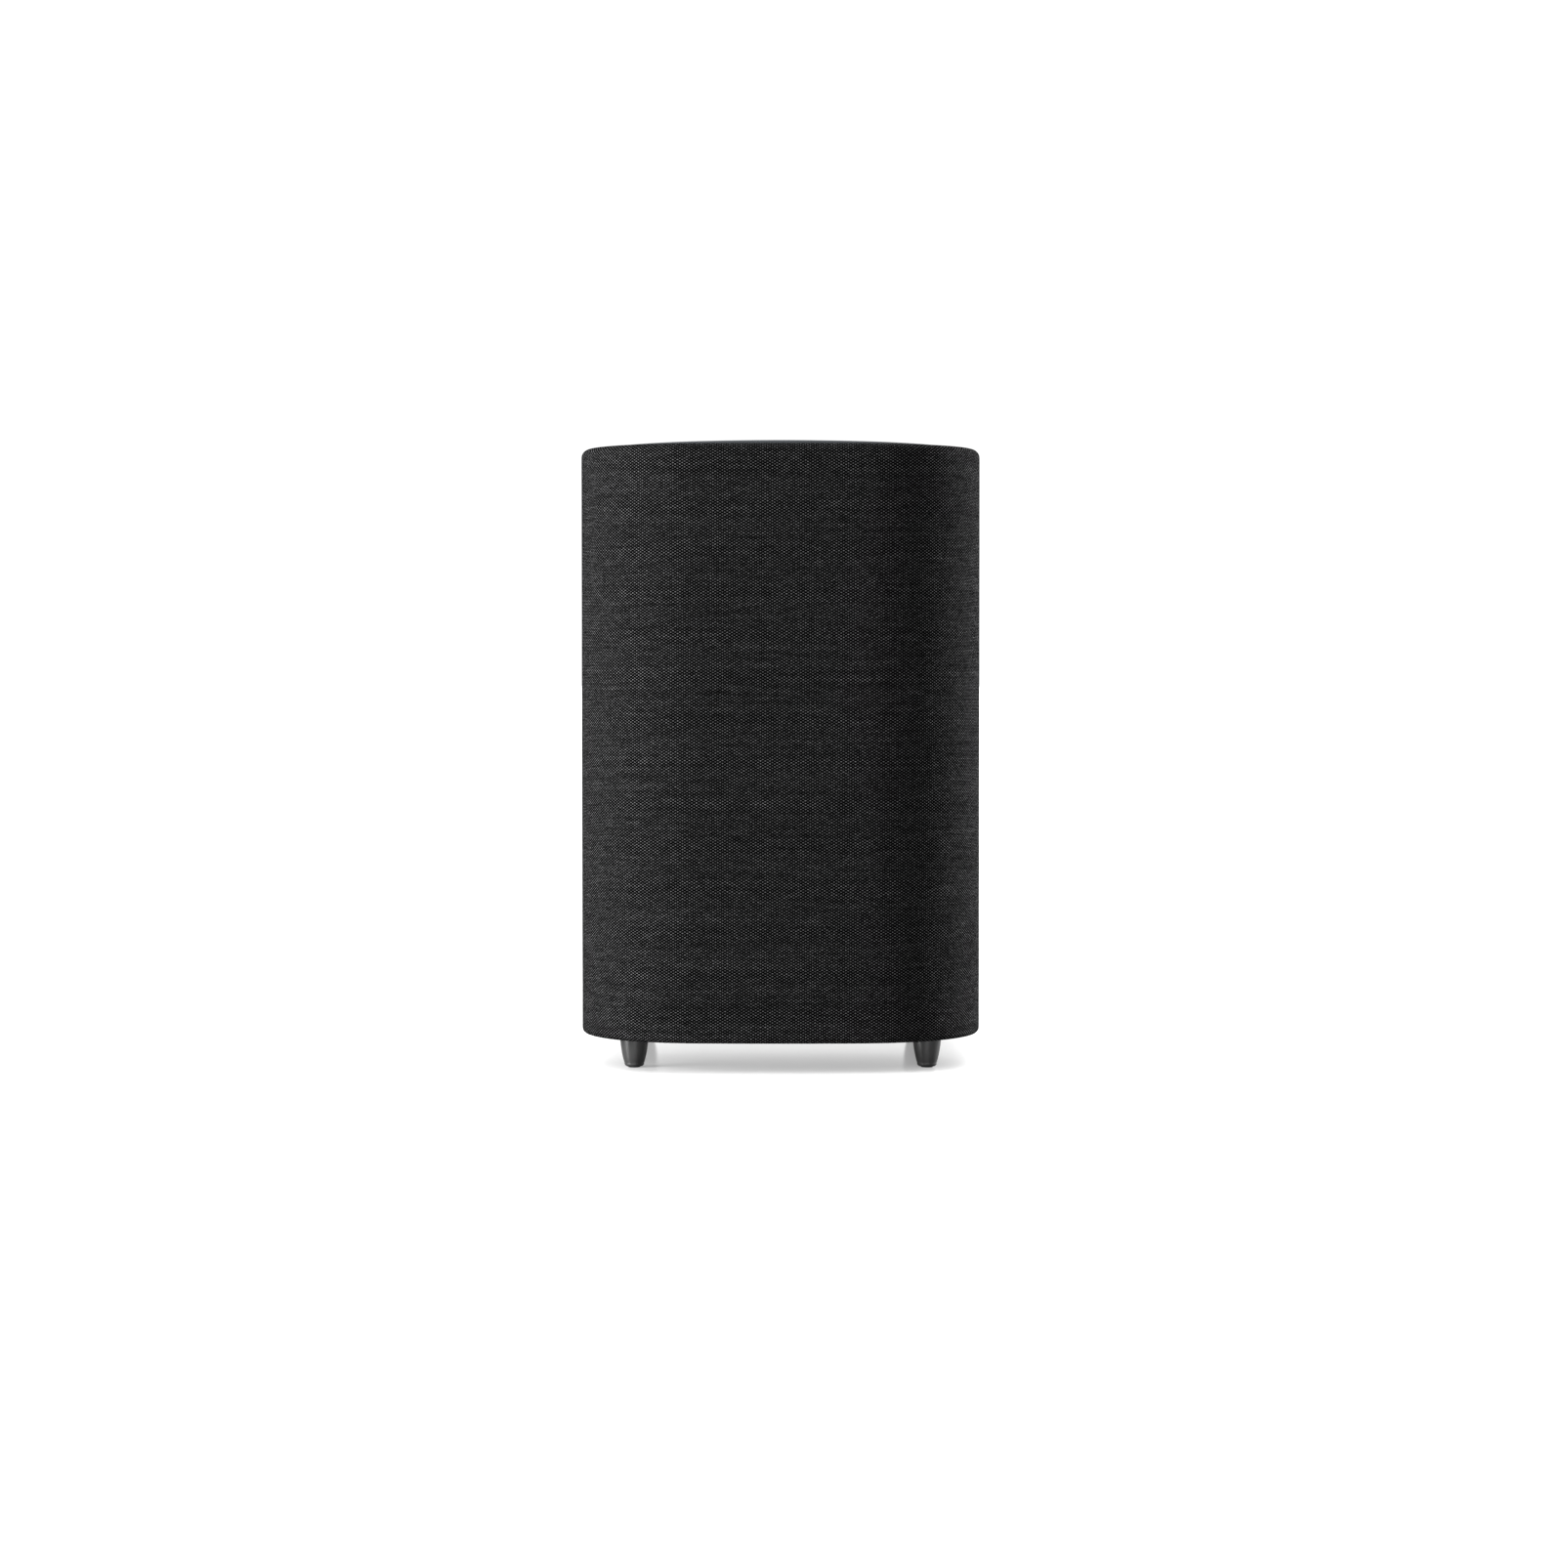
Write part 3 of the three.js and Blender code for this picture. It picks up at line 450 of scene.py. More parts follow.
def woven_cloth(name):
    """Plain weave: grey weft floats over a near-black warp, with streaky yarns and slow waviness. Each
    crossing's tone falls to near black at its rim, with a darker ground between crossings: painted shade of
    the round yarns and the gaps between them.
    """
    f = Finish(name, roughness=0.9, specular_ior_level=0.0)
    times, plus, minus, vector = f.times, f.plus, f.minus, f.vector
    uv = f.node("UVMap", uv_map="cloth").outputs[0]
    u, v, _ = f.node("SeparateXYZ", {0: uv}).outputs
    drift = times(minus(f.noise(7.0, 1.0, at=uv), 0.5), 4 * MM)
    ripple = times(minus(f.noise(60.0, at=uv), 0.5), 0.35 * MM)
    v_bent = plus(plus(v, drift), ripple)
    column = f.math("DIVIDE", plus(u, times(ripple, 0.6)), WARP_PITCH)
    row = f.math("DIVIDE", v_bent, WEFT_PITCH)
    column_id, row_id = f.math("FLOOR", column), f.math("FLOOR", row)
    across, up = [minus(f.math("FRACT", count), 0.5) for count in (column, row)]
    parity = f.math("FRACT", times(plus(column_id, row_id), 0.5))
    weft_over = f.math("LESS_THAN", parity, 0.25)

    def dot(*reaches):
        """A rounded yarn crossing, 1 at its middle and 0 at its rim."""
        shares = [f.math("DIVIDE", way, reach) for way, reach in zip((across, up), reaches)]
        qx, qy = [f.math("POWER", f.math("ABSOLUTE", share), 2.0) for share in shares]
        return f.math("POWER", minus(1.0, plus(qx, qy), clamp=True), 0.7)

    weft_dot = times(dot(0.47, 0.4), weft_over)
    warp_dot = times(dot(0.46, 0.56), minus(1.0, weft_over))
    yarn = f.noise(1.0, 3.0, 0.6, vector(times(u, 13.0), times(row_id, 0.61)))
    slub = f.noise(1.0, at=vector(times(u, 70.0), times(row_id, 0.37), 5.0))
    bands = f.noise(1.0, 3.0, at=vector(times(u, 6.0), times(v_bent, 220.0), 9.0))
    fleck = f.node("TexWhiteNoise", {"Vector": vector(column_id, row_id)}).outputs[0]
    level = times(f.span(yarn, 0.3, 0.7, 0.77, 1.23), f.span(slub, 0.3, 0.7, 0.75, 1.25))
    level = times(level, f.span(bands, 0.3, 0.7, 0.83, 1.17))
    level = times(level, f.span(fleck, 0.0, 1.0, 0.65, 1.35))
    # Painted shade: the weft's tone follows its dot down to near black at the rim, and the ground between
    # crossings is darker still, standing in for the shade of the round yarns and their gaps.
    tone = plus(plus(times(times(weft_dot, level), 0.126), times(warp_dot, 0.0008)), 0.0003)
    tint = f.node("CombineColor", {0: tone, 1: tone, 2: times(tone, 1.02)}).outputs[0]
    return f.set(base_color=tint, normal=f.bump(plus(weft_dot, times(warp_dot, 0.7)), 0.25 * MM, 0.6))


def moulded_plastic(name, tone, rough, grain_scale, grain_depth, blue=0.0):
    """Satin or spark-textured plastic with a fine grain and faint handling marks."""
    f = Finish(name)
    marks, grain = f.noise(70.0, 5.0, 0.7), f.noise(grain_scale, 3.0, 0.6)
    tones = grey(tone * 0.95, blue), grey(tone * 1.05, blue)
    return f.mottled(marks, tones, grain, grain_depth, rough=(rough - 0.02, rough + 0.02))


def moulded_rubber(name, tone=0.012):
    f = Finish(name, specular_ior_level=0.35)
    bloom, tones = f.noise(35.0, 4.0, 0.65), (grey(tone), grey(tone * 2.2))
    return f.mottled(bloom, tones, f.noise(2500.0), 0.03 * MM, 0.4, (0.35, 0.75), (0.5, 0.72))


def pressed_paper(name, tone=0.02):
    """Cone paper: short fibres lying every way over a dark dyed pulp."""
    f = Finish(name, roughness=0.8, sheen_weight=0.1)
    fibres, pulp = f.cells(900.0, f.stretched(1.0, 1.7, 1.0)), f.noise(260.0, 5.0, 0.7)
    share = f.times(f.span(fibres, 0.1, 0.7), f.span(pulp, 0.3, 0.75))
    tint = f.mix(share, grey(tone * 0.55), grey(tone * 2.4))
    return f.set(base_color=tint, normal=f.bump(f.plus(fibres, pulp), 0.15 * MM, 0.5))


def plated_metal(name, colour, rough=0.32, brushed=(900.0, 900.0, 60.0)):
    f = Finish(name, metallic=1.0)
    patches, scratches = f.noise(120.0, 3.0), f.noise(1.0, 3.0, at=f.stretched(*brushed))
    tones = [(*[share * c for c in colour], 1.0) for share in (0.72, 1.0)]
    spread = (rough - 0.08, rough + 0.14)
    return f.mottled(patches, tones, scratches, 0.02 * MM, 0.3, rough=spread, rough_by=scratches)


def powder_coat(name, tone=0.02):
    f = Finish(name, metallic=0.1)
    dust, tones = f.noise(60.0, 3.0), (grey(tone), grey(tone * 1.7))
    return f.mottled(dust, tones, f.cells(1300.0), 0.05 * MM, reach=(0.35, 0.7), rough=(0.4, 0.55))


def fibreboard(name):
    f = Finish(name, roughness=0.85)
    chips, cloud = f.cells(900.0), f.noise(40.0, 5.0, 0.7)
    share = f.times(f.span(chips, 0.0, 0.8), f.span(cloud, 0.25, 0.75, 0.6, 1.4))
    tint = f.mix(share, (0.16, 0.095, 0.045, 1), (0.42, 0.29, 0.16, 1))
    return f.set(base_color=tint, normal=f.bump(chips, 0.1 * MM, 0.5))


def soft_foam(name, dark, light, scale, depth):
    f = Finish(name, roughness=1.0, sheen_weight=0.2)
    pores, cloud = f.cells(scale), f.noise(scale / 8, 4.0, 0.7)
    share = f.times(f.span(pores, 0.05, 0.6), f.span(cloud, 0.25, 0.75, 0.5, 1.2))
    return f.set(base_color=f.mix(share, dark, light), normal=f.bump(pores, depth, 0.8))


def spider_cloth(name):
    f = Finish(name, roughness=0.75)
    checks = f.node("TexChecker", {"Vector": f.place(), "Scale": 1400.0}).outputs[1]
    tones = (0.25, 0.13, 0.03, 1), (0.46, 0.28, 0.09, 1)
    return f.mottled(f.noise(90.0, 4.0, 0.6), tones, checks, 0.1 * MM)


def enamelled_copper(name):
    f = Finish(name, metallic=1.0, coat_weight=0.4)
    turns, tones = f.waves(400.0, "Z"), ((0.42, 0.13, 0.04, 1), (0.66, 0.26, 0.1, 1))
    f.set(roughness=f.span(turns, 0.0, 1.0, 0.25, 0.45))
    return f.mottled(f.noise(80.0, 3.0), tones, turns, 0.2 * MM, 0.7)


def ground_ferrite(name):
    f = Finish(name)
    chips, grain = f.noise(90.0, 4.0, 0.7), f.noise(900.0, 4.0, 0.7)
    tones = grey(0.03, 0.3), grey(0.055, 0.2)
    return f.mottled(chips, tones, grain, 0.05 * MM, rough=(0.4, 0.65), rough_by=grain)


def solder_mask(name):
    """Green board with routed tracks under the lacquer and tinned pads."""
    f = Finish(name, roughness=0.35, coat_weight=0.3)
    x, _, z = f.node("SeparateXYZ", {0: f.place()}).outputs
    lanes = f.vector(x, 0.0, z)
    copper = f.math("LESS_THAN", f.cells(180.0, lanes, "DISTANCE_TO_EDGE"), 0.12)
    tin = f.math("LESS_THAN", f.cells(420.0, lanes), 0.13)
    lacquer = f.mix(copper, (0.008, 0.085, 0.03, 1), (0.012, 0.11, 0.038, 1))
    tint, relief = f.mix(tin, lacquer, (0.6, 0.6, 0.58, 1)), f.bump(f.plus(copper, tin), 0.04 * MM, 0.6)
    return f.set(base_color=tint, metallic=f.times(tin, 0.9), normal=relief)


def shrink_sleeve(name):
    f = Finish(name, roughness=0.25, coat_weight=0.5)
    wrap = f.noise(1.0, 3.0, at=f.stretched(40.0, 400.0, 40.0))
    return f.mottled(wrap, ((0.008, 0.02, 0.07, 1), (0.02, 0.045, 0.13, 1)), wrap, 0.05 * MM, 0.4)


def light_pipe(name):
    f = Finish(name, roughness=0.12, transmission_weight=0.35)
    haze = f.noise(500.0)
    return f.mottled(haze, ((0.24, 0.26, 0.27, 1), (0.36, 0.38, 0.38, 1)), haze, 0.01 * MM, 0.3)


def sewing_thread(name):
    f = Finish(name, roughness=0.7, sheen_weight=0.2)
    twist = f.waves(1400.0, "DIAGONAL")
    return f.set(base_color=f.mix(twist, grey(0.012), grey(0.05)), normal=f.bump(twist, 0.05 * MM, 0.7))


FINISHES = {
    "fabric": woven_cloth("woven_cloth"),
    "cover_plastic": moulded_plastic("cover_plastic", 0.045, 0.34, 3000.0, 0.01 * MM, blue=0.3),
    "case_plastic": moulded_plastic("case_plastic", 0.018, 0.5, 1500.0, 0.06 * MM),
    "foot_plastic": moulded_plastic("foot_plastic", 0.05, 0.38, 2200.0, 0.02 * MM),
    "rubber": moulded_rubber("rubber"),
    "board": fibreboard("fibreboard"),
    "foam": soft_foam("foam", grey(0.008), grey(0.05), 1600.0, 0.2 * MM),
    "wadding": soft_foam("wadding", (0.22, 0.215, 0.2, 1), (0.5, 0.49, 0.46, 1), 700.0, 0.5 * MM),
    "paper": pressed_paper("cone_paper"),
    "spider_cloth": spider_cloth("spider_cloth"),
    "steel": powder_coat("powder_coat"),
    "zinc": plated_metal("zinc_plate", (0.5, 0.51, 0.54)),
    "ferrite": ground_ferrite("ferrite"),
    "aluminium": plated_metal("aluminium", (0.62, 0.63, 0.65), 0.4, (60.0, 900.0, 900.0)),
    "copper": enamelled_copper("enamelled_copper"),
    "circuit": solder_mask("solder_mask"),
    "sleeve_blue": shrink_sleeve("shrink_sleeve"),
    "light_pipe": light_pipe("light_pipe"),
}
THREAD = sewing_thread("thread")
BLACK_SCREW = plated_metal("blackened_steel", (0.06, 0.06, 0.065), 0.38)


def finish_cad_nodes():
    for name, node in frame["nodes"].items():
        node.data.materials.clear()
        node.data.materials.append(FINISHES[SLOT_OF[name]])


def stand_for(piece, node, body="enclosure", material=None):
    """Gives a finished piece its material and its body, and hides the CAD node it stands for."""
    slot = SLOT_OF[node]
    piece.data.materials.clear()
    piece.data.materials.append(material or FINISHES[slot])
    if body:
        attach(piece, body)
    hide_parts(node)
    return piece


def add_piece(name, mesh, node, angle=40, body="enclosure", material=None):
    """A piece that needs nothing but its mesh, smooth up to an angle."""
    return stand_for(smooth(link(name, mesh), angle), node, body, material)


def paint_where(piece, finish, inside):
    """Gives a second finish to the faces whose middles pass the test."""
    piece.data.materials.append(FINISHES[finish])
    for face in piece.data.polygons:
        if inside(face.center):
            face.material_index = 1


# ---------- fabric sleeve ----------
LIP_OVERLAP = 2 * MM  # how far the rear plate's lip covers the cloth
SEAM_HALF_WIDTH, SEAM_DEPTH = 1.1 * MM, 0.55 * MM


def cloth_give(point, station, length):
    """How far the stretched cloth lies inside its smooth shape: slow waviness and the seam at the back."""
    x, y, z = point
    waves = noise.noise(Vector((x * 13, y * 13, z * 9))) * 0.16 * MM
    fine = noise.noise(Vector((x * 60, y * 60, z * 40))) * 0.05 * MM
    from_seam = min(station.along, length - station.along)
    return waves + fine + SEAM_DEPTH * math.exp(-((from_seam / SEAM_HALF_WIDTH) ** 2))


def sleeve_profile():
    """(inset, z) round the cloth's section: the outside with base lip, wall and top roll, then the inside."""
    low, high = BODY_BOTTOM + BOTTOM_EDGE, BODY_TOP - TOP_EDGE
    wall_steps, fold, lip, under = 46, 0.7 * MM, 11.6 * MM, BODY_TOP - CLOTH
    outside = [(lip, BODY_BOTTOM + 0.5 * MM), (11.0 * MM, BODY_BOTTOM), (7 * MM, BODY_BOTTOM)]
    outside += [(BOTTOM_EDGE - x, z) for x, z in arc(0, low, BOTTOM_EDGE, -90, 0, 7)]
    outside += [(0.0, low + (high - low) * k / wall_steps) for k in range(1, wall_steps)]
    outside += [(TOP_EDGE - x, z) for x, z in arc(0, high, TOP_EDGE, 0, 90, 10)]
    outside += [(6.6 * MM, BODY_TOP)]
    outside += [(8.2 * MM - x, z) for x, z in arc(0, BODY_TOP - fold, fold, 90, 180, 4)]
    inside = [(8.6 * MM, under), (5.4 * MM, under)]
    inside += [(TOP_EDGE - x, z) for x, z in arc(0, high, TOP_EDGE - CLOTH, 90, 0, 4)]
    inside += [(CLOTH, low + (high - low) * k / 8) for k in range(7, 0, -1)]
    inside += [(BOTTOM_EDGE - x, z) for x, z in arc(0, low, BOTTOM_EDGE - CLOTH, 0, -90, 3)]
    return outside, [*inside, (lip, BODY_BOTTOM + CLOTH)]


def make_sleeve():
    stations, length = plan_stations()
    outside, inside = sleeve_profile()
    profile = outside + inside
    run = [0.0]
    for (a, b), (c, d) in zip(profile, profile[1:] + profile[:1]):
        run.append(run[-1] + math.hypot(c - a, d - b))
    grid = []
    for station in stations:
        give = [cloth_give(on_plan(station, inset, z), station, length) for inset, z in outside]
        column = [on_plan(station, inset + g, z) for g, (inset, z) in zip(give, outside)]
        grid.append(column + [on_plan(station, inset, z) for inset, z in inside])
    ends = [s.along for s in stations] + [length]
    mesh = grid_mesh(grid, True, True, lambda i, j: (ends[i], run[j]))
    sleeve = link("sleeve_cloth", tidy_mesh(mesh))
    window = rectangle(PLATE_WIDTH - 2 * LIP_OVERLAP, PLATE_HEIGHT - 2 * LIP_OVERLAP, 15 * MM, 0, PLATE_Z)
    combine(sleeve, [prism_mesh(window, REAR_LO.y - 30 * MM, REAR_HI.y + 20 * MM)])
    stand_for(smooth(sleeve, 50), "fabric_sleeve")


def make_seam_stitches():
    """Short thread stitches on both sides of the sleeve's seam, above and below the rear plate."""
    rng = random.Random(11)
    bm = bmesh.new()
    pitch = 3.2 * MM
    for low, high in [(BODY_BOTTOM + 6 * MM, REAR_LO.z - 3 * MM), (REAR_HI.z + 3 * MM, BODY_TOP - 7 * MM)]:
        for k in range(int((high - low) / pitch)):
            z = low + pitch * (k + 0.5)
            for side in (-1, 1):
                add_stitch(bm, side * 1.5 * MM, z, pitch * 0.36, rng.uniform(-0.15, 0.15))
    mesh = bpy.data.meshes.new("seam_stitches")
    bm.to_mesh(mesh)
    bm.free()
    stitches = smooth(link("seam_stitches", mesh), 80)
    mesh.materials.append(THREAD)
    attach(stitches, "enclosure")


def add_stitch(bm, x, z, reach, lean):
    """One stitch: a thread that rises out of the cloth, runs up it and dips back in."""
    rings, sides, thread = 7, 8, 0.24 * MM
    turn = [2 * math.pi * s / sides for s in range(sides)]
    rows = []
    for t in [i / (rings - 1) * 2 - 1 for i in range(rings)]:
        thick = math.sqrt(max(0.0, 1 - t**4)) * thread + 0.02 * MM
        lift = ((1 - t * t) * 1.1 - 0.35) * thread
        centre = Vector((x + lean * t * reach, back_face_y(x) + lift, z + t * reach))
        rows.append([bm.verts.new(centre + Vector((math.cos(a), math.sin(a), 0)) * thick) for a in turn])
    for low, high in zip(rows, rows[1:]):
        for s in range(sides):
            after = (s + 1) % sides
            bm.faces.new((low[s], low[after], high[after], high[s]))
    bm.faces.new(list(reversed(rows[0])))
    bm.faces.new(rows[-1])


# ---------- top cover ----------
COVER_INSET = 9.3 * MM
COVER_TOP = BODY_TOP + 3.3 * MM
CROWN_X, CROWN_Y = 2.0, 6.72  # radii of the crowned top


def crowned(x, y, rise=0.0):
    drop = x**2 / (2 * CROWN_X) + (y - MIDDLE_Y) ** 2 / (2 * CROWN_Y)
    return Vector((x, y, COVER_TOP - drop + rise))


def make_cover():
    edge, corner, plug, rim = 1.3 * MM, 0.25 * MM, 11.4 * MM, BODY_TOP - CLOTH
    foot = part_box("top_cover")[0].z + 0.1 * MM
    skirt = [(plug, foot), (plug, rim), (COVER_INSET + corner, rim), (COVER_INSET, rim + corner)]
    shares = [0.97, 0.9, 0.8, 0.68, 0.55, 0.42, 0.3, 0.2, 0.1, 0.04]
    grid = []
    for station in plan_stations()[0]:
        column = [on_plan(station, inset, z) for inset, z in skirt]
        for inset, rise in arc(edge, -edge, edge, 180, 90, 7):
            x, y, _ = on_plan(station, COVER_INSET + inset, 0)
            column.append(crowned(x, y, rise))
        column += [crowned(x * share, MIDDLE_Y + (y - MIDDLE_Y) * share) for share in shares]
        grid.append(column)
    mesh = grid_mesh(grid, wrap_i=True)
    close_ends(mesh, len(grid), len(grid[0]))
    add_piece("cover_panel", tidy_mesh(mesh), "top_cover", 30)


# ---------- feet ----------
def make_feet():
    for place in FEET:
        foot, pad = f"foot_{place}", f"foot_pad_{place}"
        pad_radius = size(pad).x / 2
        taper = lathe_mesh(foot_profile(*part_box(foot), pad_radius))
        disc = lathe_mesh(pad_profile(pad_radius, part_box(pad)[1].z), 64)
        add_piece(f"tapered_foot_{place}", over(taper, pad), foot)
        add_piece(f"rubber_pad_{place}", over(disc, pad), pad)


def foot_profile(lo, hi, pad_radius):
    """A convex taper with a soft lower edge, bored from below for its pad and screw."""
    start, bend, end = Vector((5.85, 2.6)) * MM, Vector((7.75, 8.2)) * MM, Vector((8.6 * MM, hi.z))
    shares = [k / 14 for k in range(15)]
    taper = [tuple(start * (1 - t) ** 2 + bend * 2 * t * (1 - t) + end * t * t) for t in shares]
    edge = arc(4.15 * MM, lo.z + 1.75 * MM, 1.75 * MM, -90, -8, 6)
    bore, bore_top, hole = pad_radius + 0.25 * MM, lo.z + 6 * MM, 2.2 * MM
    inside = [(hole, hi.z), (hole, bore_top), (bore, bore_top), (bore, lo.z + 0.2 * MM)]
    return [(bore + 0.2 * MM, lo.z), *edge, *taper, *inside]


def pad_profile(radius, top):
    """A disc with a soft edge and moulded grooves underneath."""
    edge, groove = 0.4 * MM, 0.18 * MM
    radii = [(radius - edge) * k / 40 for k in range(41)]
    under = [(r, groove * max(0.0, math.sin(r / radius * 5 * math.pi)) ** 4) for r in radii]
    return [*under, *arc(radius - edge, edge, edge, -80, 0, 4), (radius, top), (0, top)]


# ---------- screws ----------
def screw_mesh(head_radius, head_height, length, shank=1.8 * MM):
    """Pan head with a six-lobed socket, head down, its seat at z = 0."""
    crest = (head_radius, -head_height, head_height * 0.75)
    dome = fillet([(head_radius, -0.1 * MM), crest, (0, -head_height)], steps=7)
    stem = [(head_radius - 0.1 * MM, 0), (shank, 0), (shank, length - shank), (0, length)]
    body = link("screw", lathe_mesh([*reversed(dome), *stem], 40))
    lobes = []
    for a in [2 * math.pi * k / 72 for k in range(72)]:
        r = head_radius * (0.42 + 0.07 * math.cos(6 * a))
        lobes.append((r * math.cos(a), r * math.sin(a)))
    socket = prism_mesh(lobes, -head_height * 1.5, -head_height * 0.35)
    socket.transform(Matrix.Rotation(math.pi / 2, 4, "X"))
    return mesh_from(bevel(combine(body, [socket]), 0.07 * MM, 2, 50))


def make_screws(nodes, head_height=2.2 * MM, faces_back=False):
    """A visible screw for each of the CAD's screws of one kind, each turned by chance."""
    axis = 1 if faces_back else 2
    extent = size(nodes[0])
    shared = screw_mesh(extent.x / 2, head_height, extent[axis] - head_height)
    rng = random.Random(5)
    for node in nodes:
        lo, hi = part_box(node)
        seat = Vector(middle(node))
        seat[axis] = hi.y - head_height if faces_back else lo.z + head_height
        mesh = shared.copy()
        mesh.transform(Matrix.Rotation(rng.uniform(0, math.pi), 4, "Z"))
        if faces_back:
            mesh.transform(Matrix.Rotation(math.pi / 2, 4, "X"))
        mesh.transform(Matrix.Translation(seat))
        add_piece(node.replace("screw", "fastener"), mesh, node, material=BLACK_SCREW)


# ---------- base ----------
def plan_panel(name, section, hollow=False):
    """A flat panel on the plan. Its section of (inset, z) runs up the edge, or right round a hollow rim."""
    grid = [[on_plan(station, inset, z) for inset, z in section] for station in plan_stations()[0]]
    mesh = grid_mesh(grid, True, hollow)
    if not hollow:
        close_ends(mesh, len(grid), len(section))
    return link(name, tidy_mesh(mesh))


def bores(nodes, radius, z0, z1):
    """Upright cutters on the middles of the given CAD nodes."""
    return [over(rod(radius, z0, z1), node) for node in nodes]


def make_base():
    lo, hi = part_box("base_plate")
    inset, edge = 12.3 * MM, 1.0 * MM
    section = [(inset + edge - x, z) for x, z in arc(0, lo.z + edge, edge, -90, 0, 5)]
    base = plan_panel("base_panel", [*section, (inset, hi.z - 0.5 * MM), (inset + 0.5 * MM, hi.z)])
    below, well = lo.z - MM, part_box("woofer_trim_ring")[1].x + 1.6 * MM
    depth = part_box("woofer_seal")[1].z + 0.2 * MM
    throat = [(well + 1.2 * MM, lo.z + 0.6 * MM, 1.5 * MM), (well, lo.z + 2.5 * MM, 1.5 * MM)]
    recess = fillet([(0, below), (well + 2.2 * MM, below), *throat, (well, depth), (0, depth)], steps=5)
    bore = size("woofer_seal").x / 2 - 2.1 * MM
    tools = [over(lathe_mesh(recess, 160), "cone"), over(rod(bore, lo.z, hi.z + MM, 160), "cone")]
    tools += [screw_well(node, lo.z) for node in BASE_SCREWS]
    tools += [foot_groove(f"foot_{place}", lo.z) for place in FEET]
    bevel(combine(base, tools), 0.3 * MM, 2, 40)
    stand_for(keep_flat(smooth(base, 50), 2), "base_plate")


def screw_well(node, floor_z):
    """A countersunk well round a screw that is driven up from below."""
    lo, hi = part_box(node)
    radius, hole = size(node).x / 2 + 0.45 * MM, 2.1 * MM
    below, above, seat = floor_z - MM, hi.z + MM, lo.z + 2.4 * MM
    profile = [(0, below), (radius + 1.4 * MM, below), (radius + 0.5 * MM, floor_z + 0.3 * MM)]
    profile += [(radius, floor_z + 0.6 * MM), (radius, seat), (hole, seat), (hole, above), (0, above)]
    return over(lathe_mesh(profile, 48), node)


def foot_groove(node, floor_z):
    """A shallow moulded groove round a foot."""
    inner, outer = size(node).x / 2 + 0.6 * MM, size(node).x / 2 + 1.6 * MM
    low, high = floor_z - MM, floor_z + 0.7 * MM
    return over(lathe_mesh([(inner, low), (outer, low), (outer, high), (inner, high)], 72), node)


# ---------- damping pads ----------
def make_damping_pads():
    """Wadding: the CAD's block, remeshed, shrunk a little and blown up as cloth so that it bulges."""
    for side in ("left", "right"):
        node = f"damping_pad_{side}"
        pad = link(f"wadding_{side}", frame["nodes"][node].data.copy())
        modify(pad, "REMESH", mode="VOXEL", voxel_size=5 * MM)
        for vertex, normal in zip(pad.data.vertices, [v.normal.copy() for v in pad.data.vertices]):
            vertex.co -= normal * 2.2 * MM
        swell(pad, pressure=4, most=1.8 * MM)
        stand_for(smooth(modify(pad, "SUBSURF", levels=1), 60), node)


def swell(piece, pressure, most):
    """Inflates a closed form as weightless cloth and holds each point near its start."""
    scene = bpy.context.scene
    start = [vertex.co.copy() for vertex in piece.data.vertices]
    cloth = piece.modifiers.new("cloth", "CLOTH").settings
    cloth.use_pressure = True
    cloth.uniform_pressure_force = pressure
    cloth.effector_weights.gravity = 0
    for frame_number in range(1, 21):
        scene.frame_set(frame_number)
    apply_modifiers(piece)
    scene.frame_set(1)
    for vertex, origin in zip(piece.data.vertices, start):
        move = vertex.co - origin
        if move.length > most:
            vertex.co = origin + move.normalized() * most


# ---------- woofer ----------
def radial_blend(piece, inner, outer):
    """Blends the piece across the cone's joint by its distance from the axis: with the cone at its inner rim,
    with the enclosure at its outer rim."""
    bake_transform(piece, "cone_assembly", "enclosure", (inner, 0, CONE_LO.z), (outer, 0, CONE_LO.z))
    for vertex, weight in zip(piece.data.vertices, piece.data.attributes["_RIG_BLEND"].data):
        share = (math.hypot(vertex.co.x, vertex.co.y - WOOFER_Y) - inner) / (outer - inner)
        share = min(1.0, max(0.0, share))
        weight.value = share * share * (3 - 2 * share)


def make_surround():
    """A rubber half roll that bulges downwards, with a glued lip at each rim."""
    lo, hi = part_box("surround")
    skin, rim, glued = 0.85 * MM, hi.x - 0.1 * MM, CONE_EDGE - 3.0 * MM
    top, under, drop = hi.z, hi.z - skin, hi.z - skin - lo.z
    roll_inner, roll_outer = CONE_EDGE + 1.0 * MM, CONE_EDGE + 14.6 * MM
    centre, radius = (roll_inner + roll_outer) / 2, (roll_outer - roll_inner) / 2

    def roll(reach, height):
        turn = [math.pi * k / 28 for k in range(1, 28)]
        return [(centre + reach * math.cos(a), height - drop * math.sin(a) ** 0.9) for a in turn]

    profile = [(rim, top), (rim, under), (roll_outer + 1.2 * MM, under), *roll(radius, under)]
    profile += [(CONE_EDGE - 2.6 * MM, top - skin * 0.9), (glued, top - skin * 0.4), (glued, top)]
    profile += [*reversed(roll(radius - skin * 0.8, top)), (roll_outer + 1.0 * MM, top)]
    piece = add_piece("rubber_surround", over(lathe_mesh(profile, 192), "cone"), "surround", 60, None)
    radial_blend(piece, CONE_EDGE + 0.5 * MM, roll_outer)


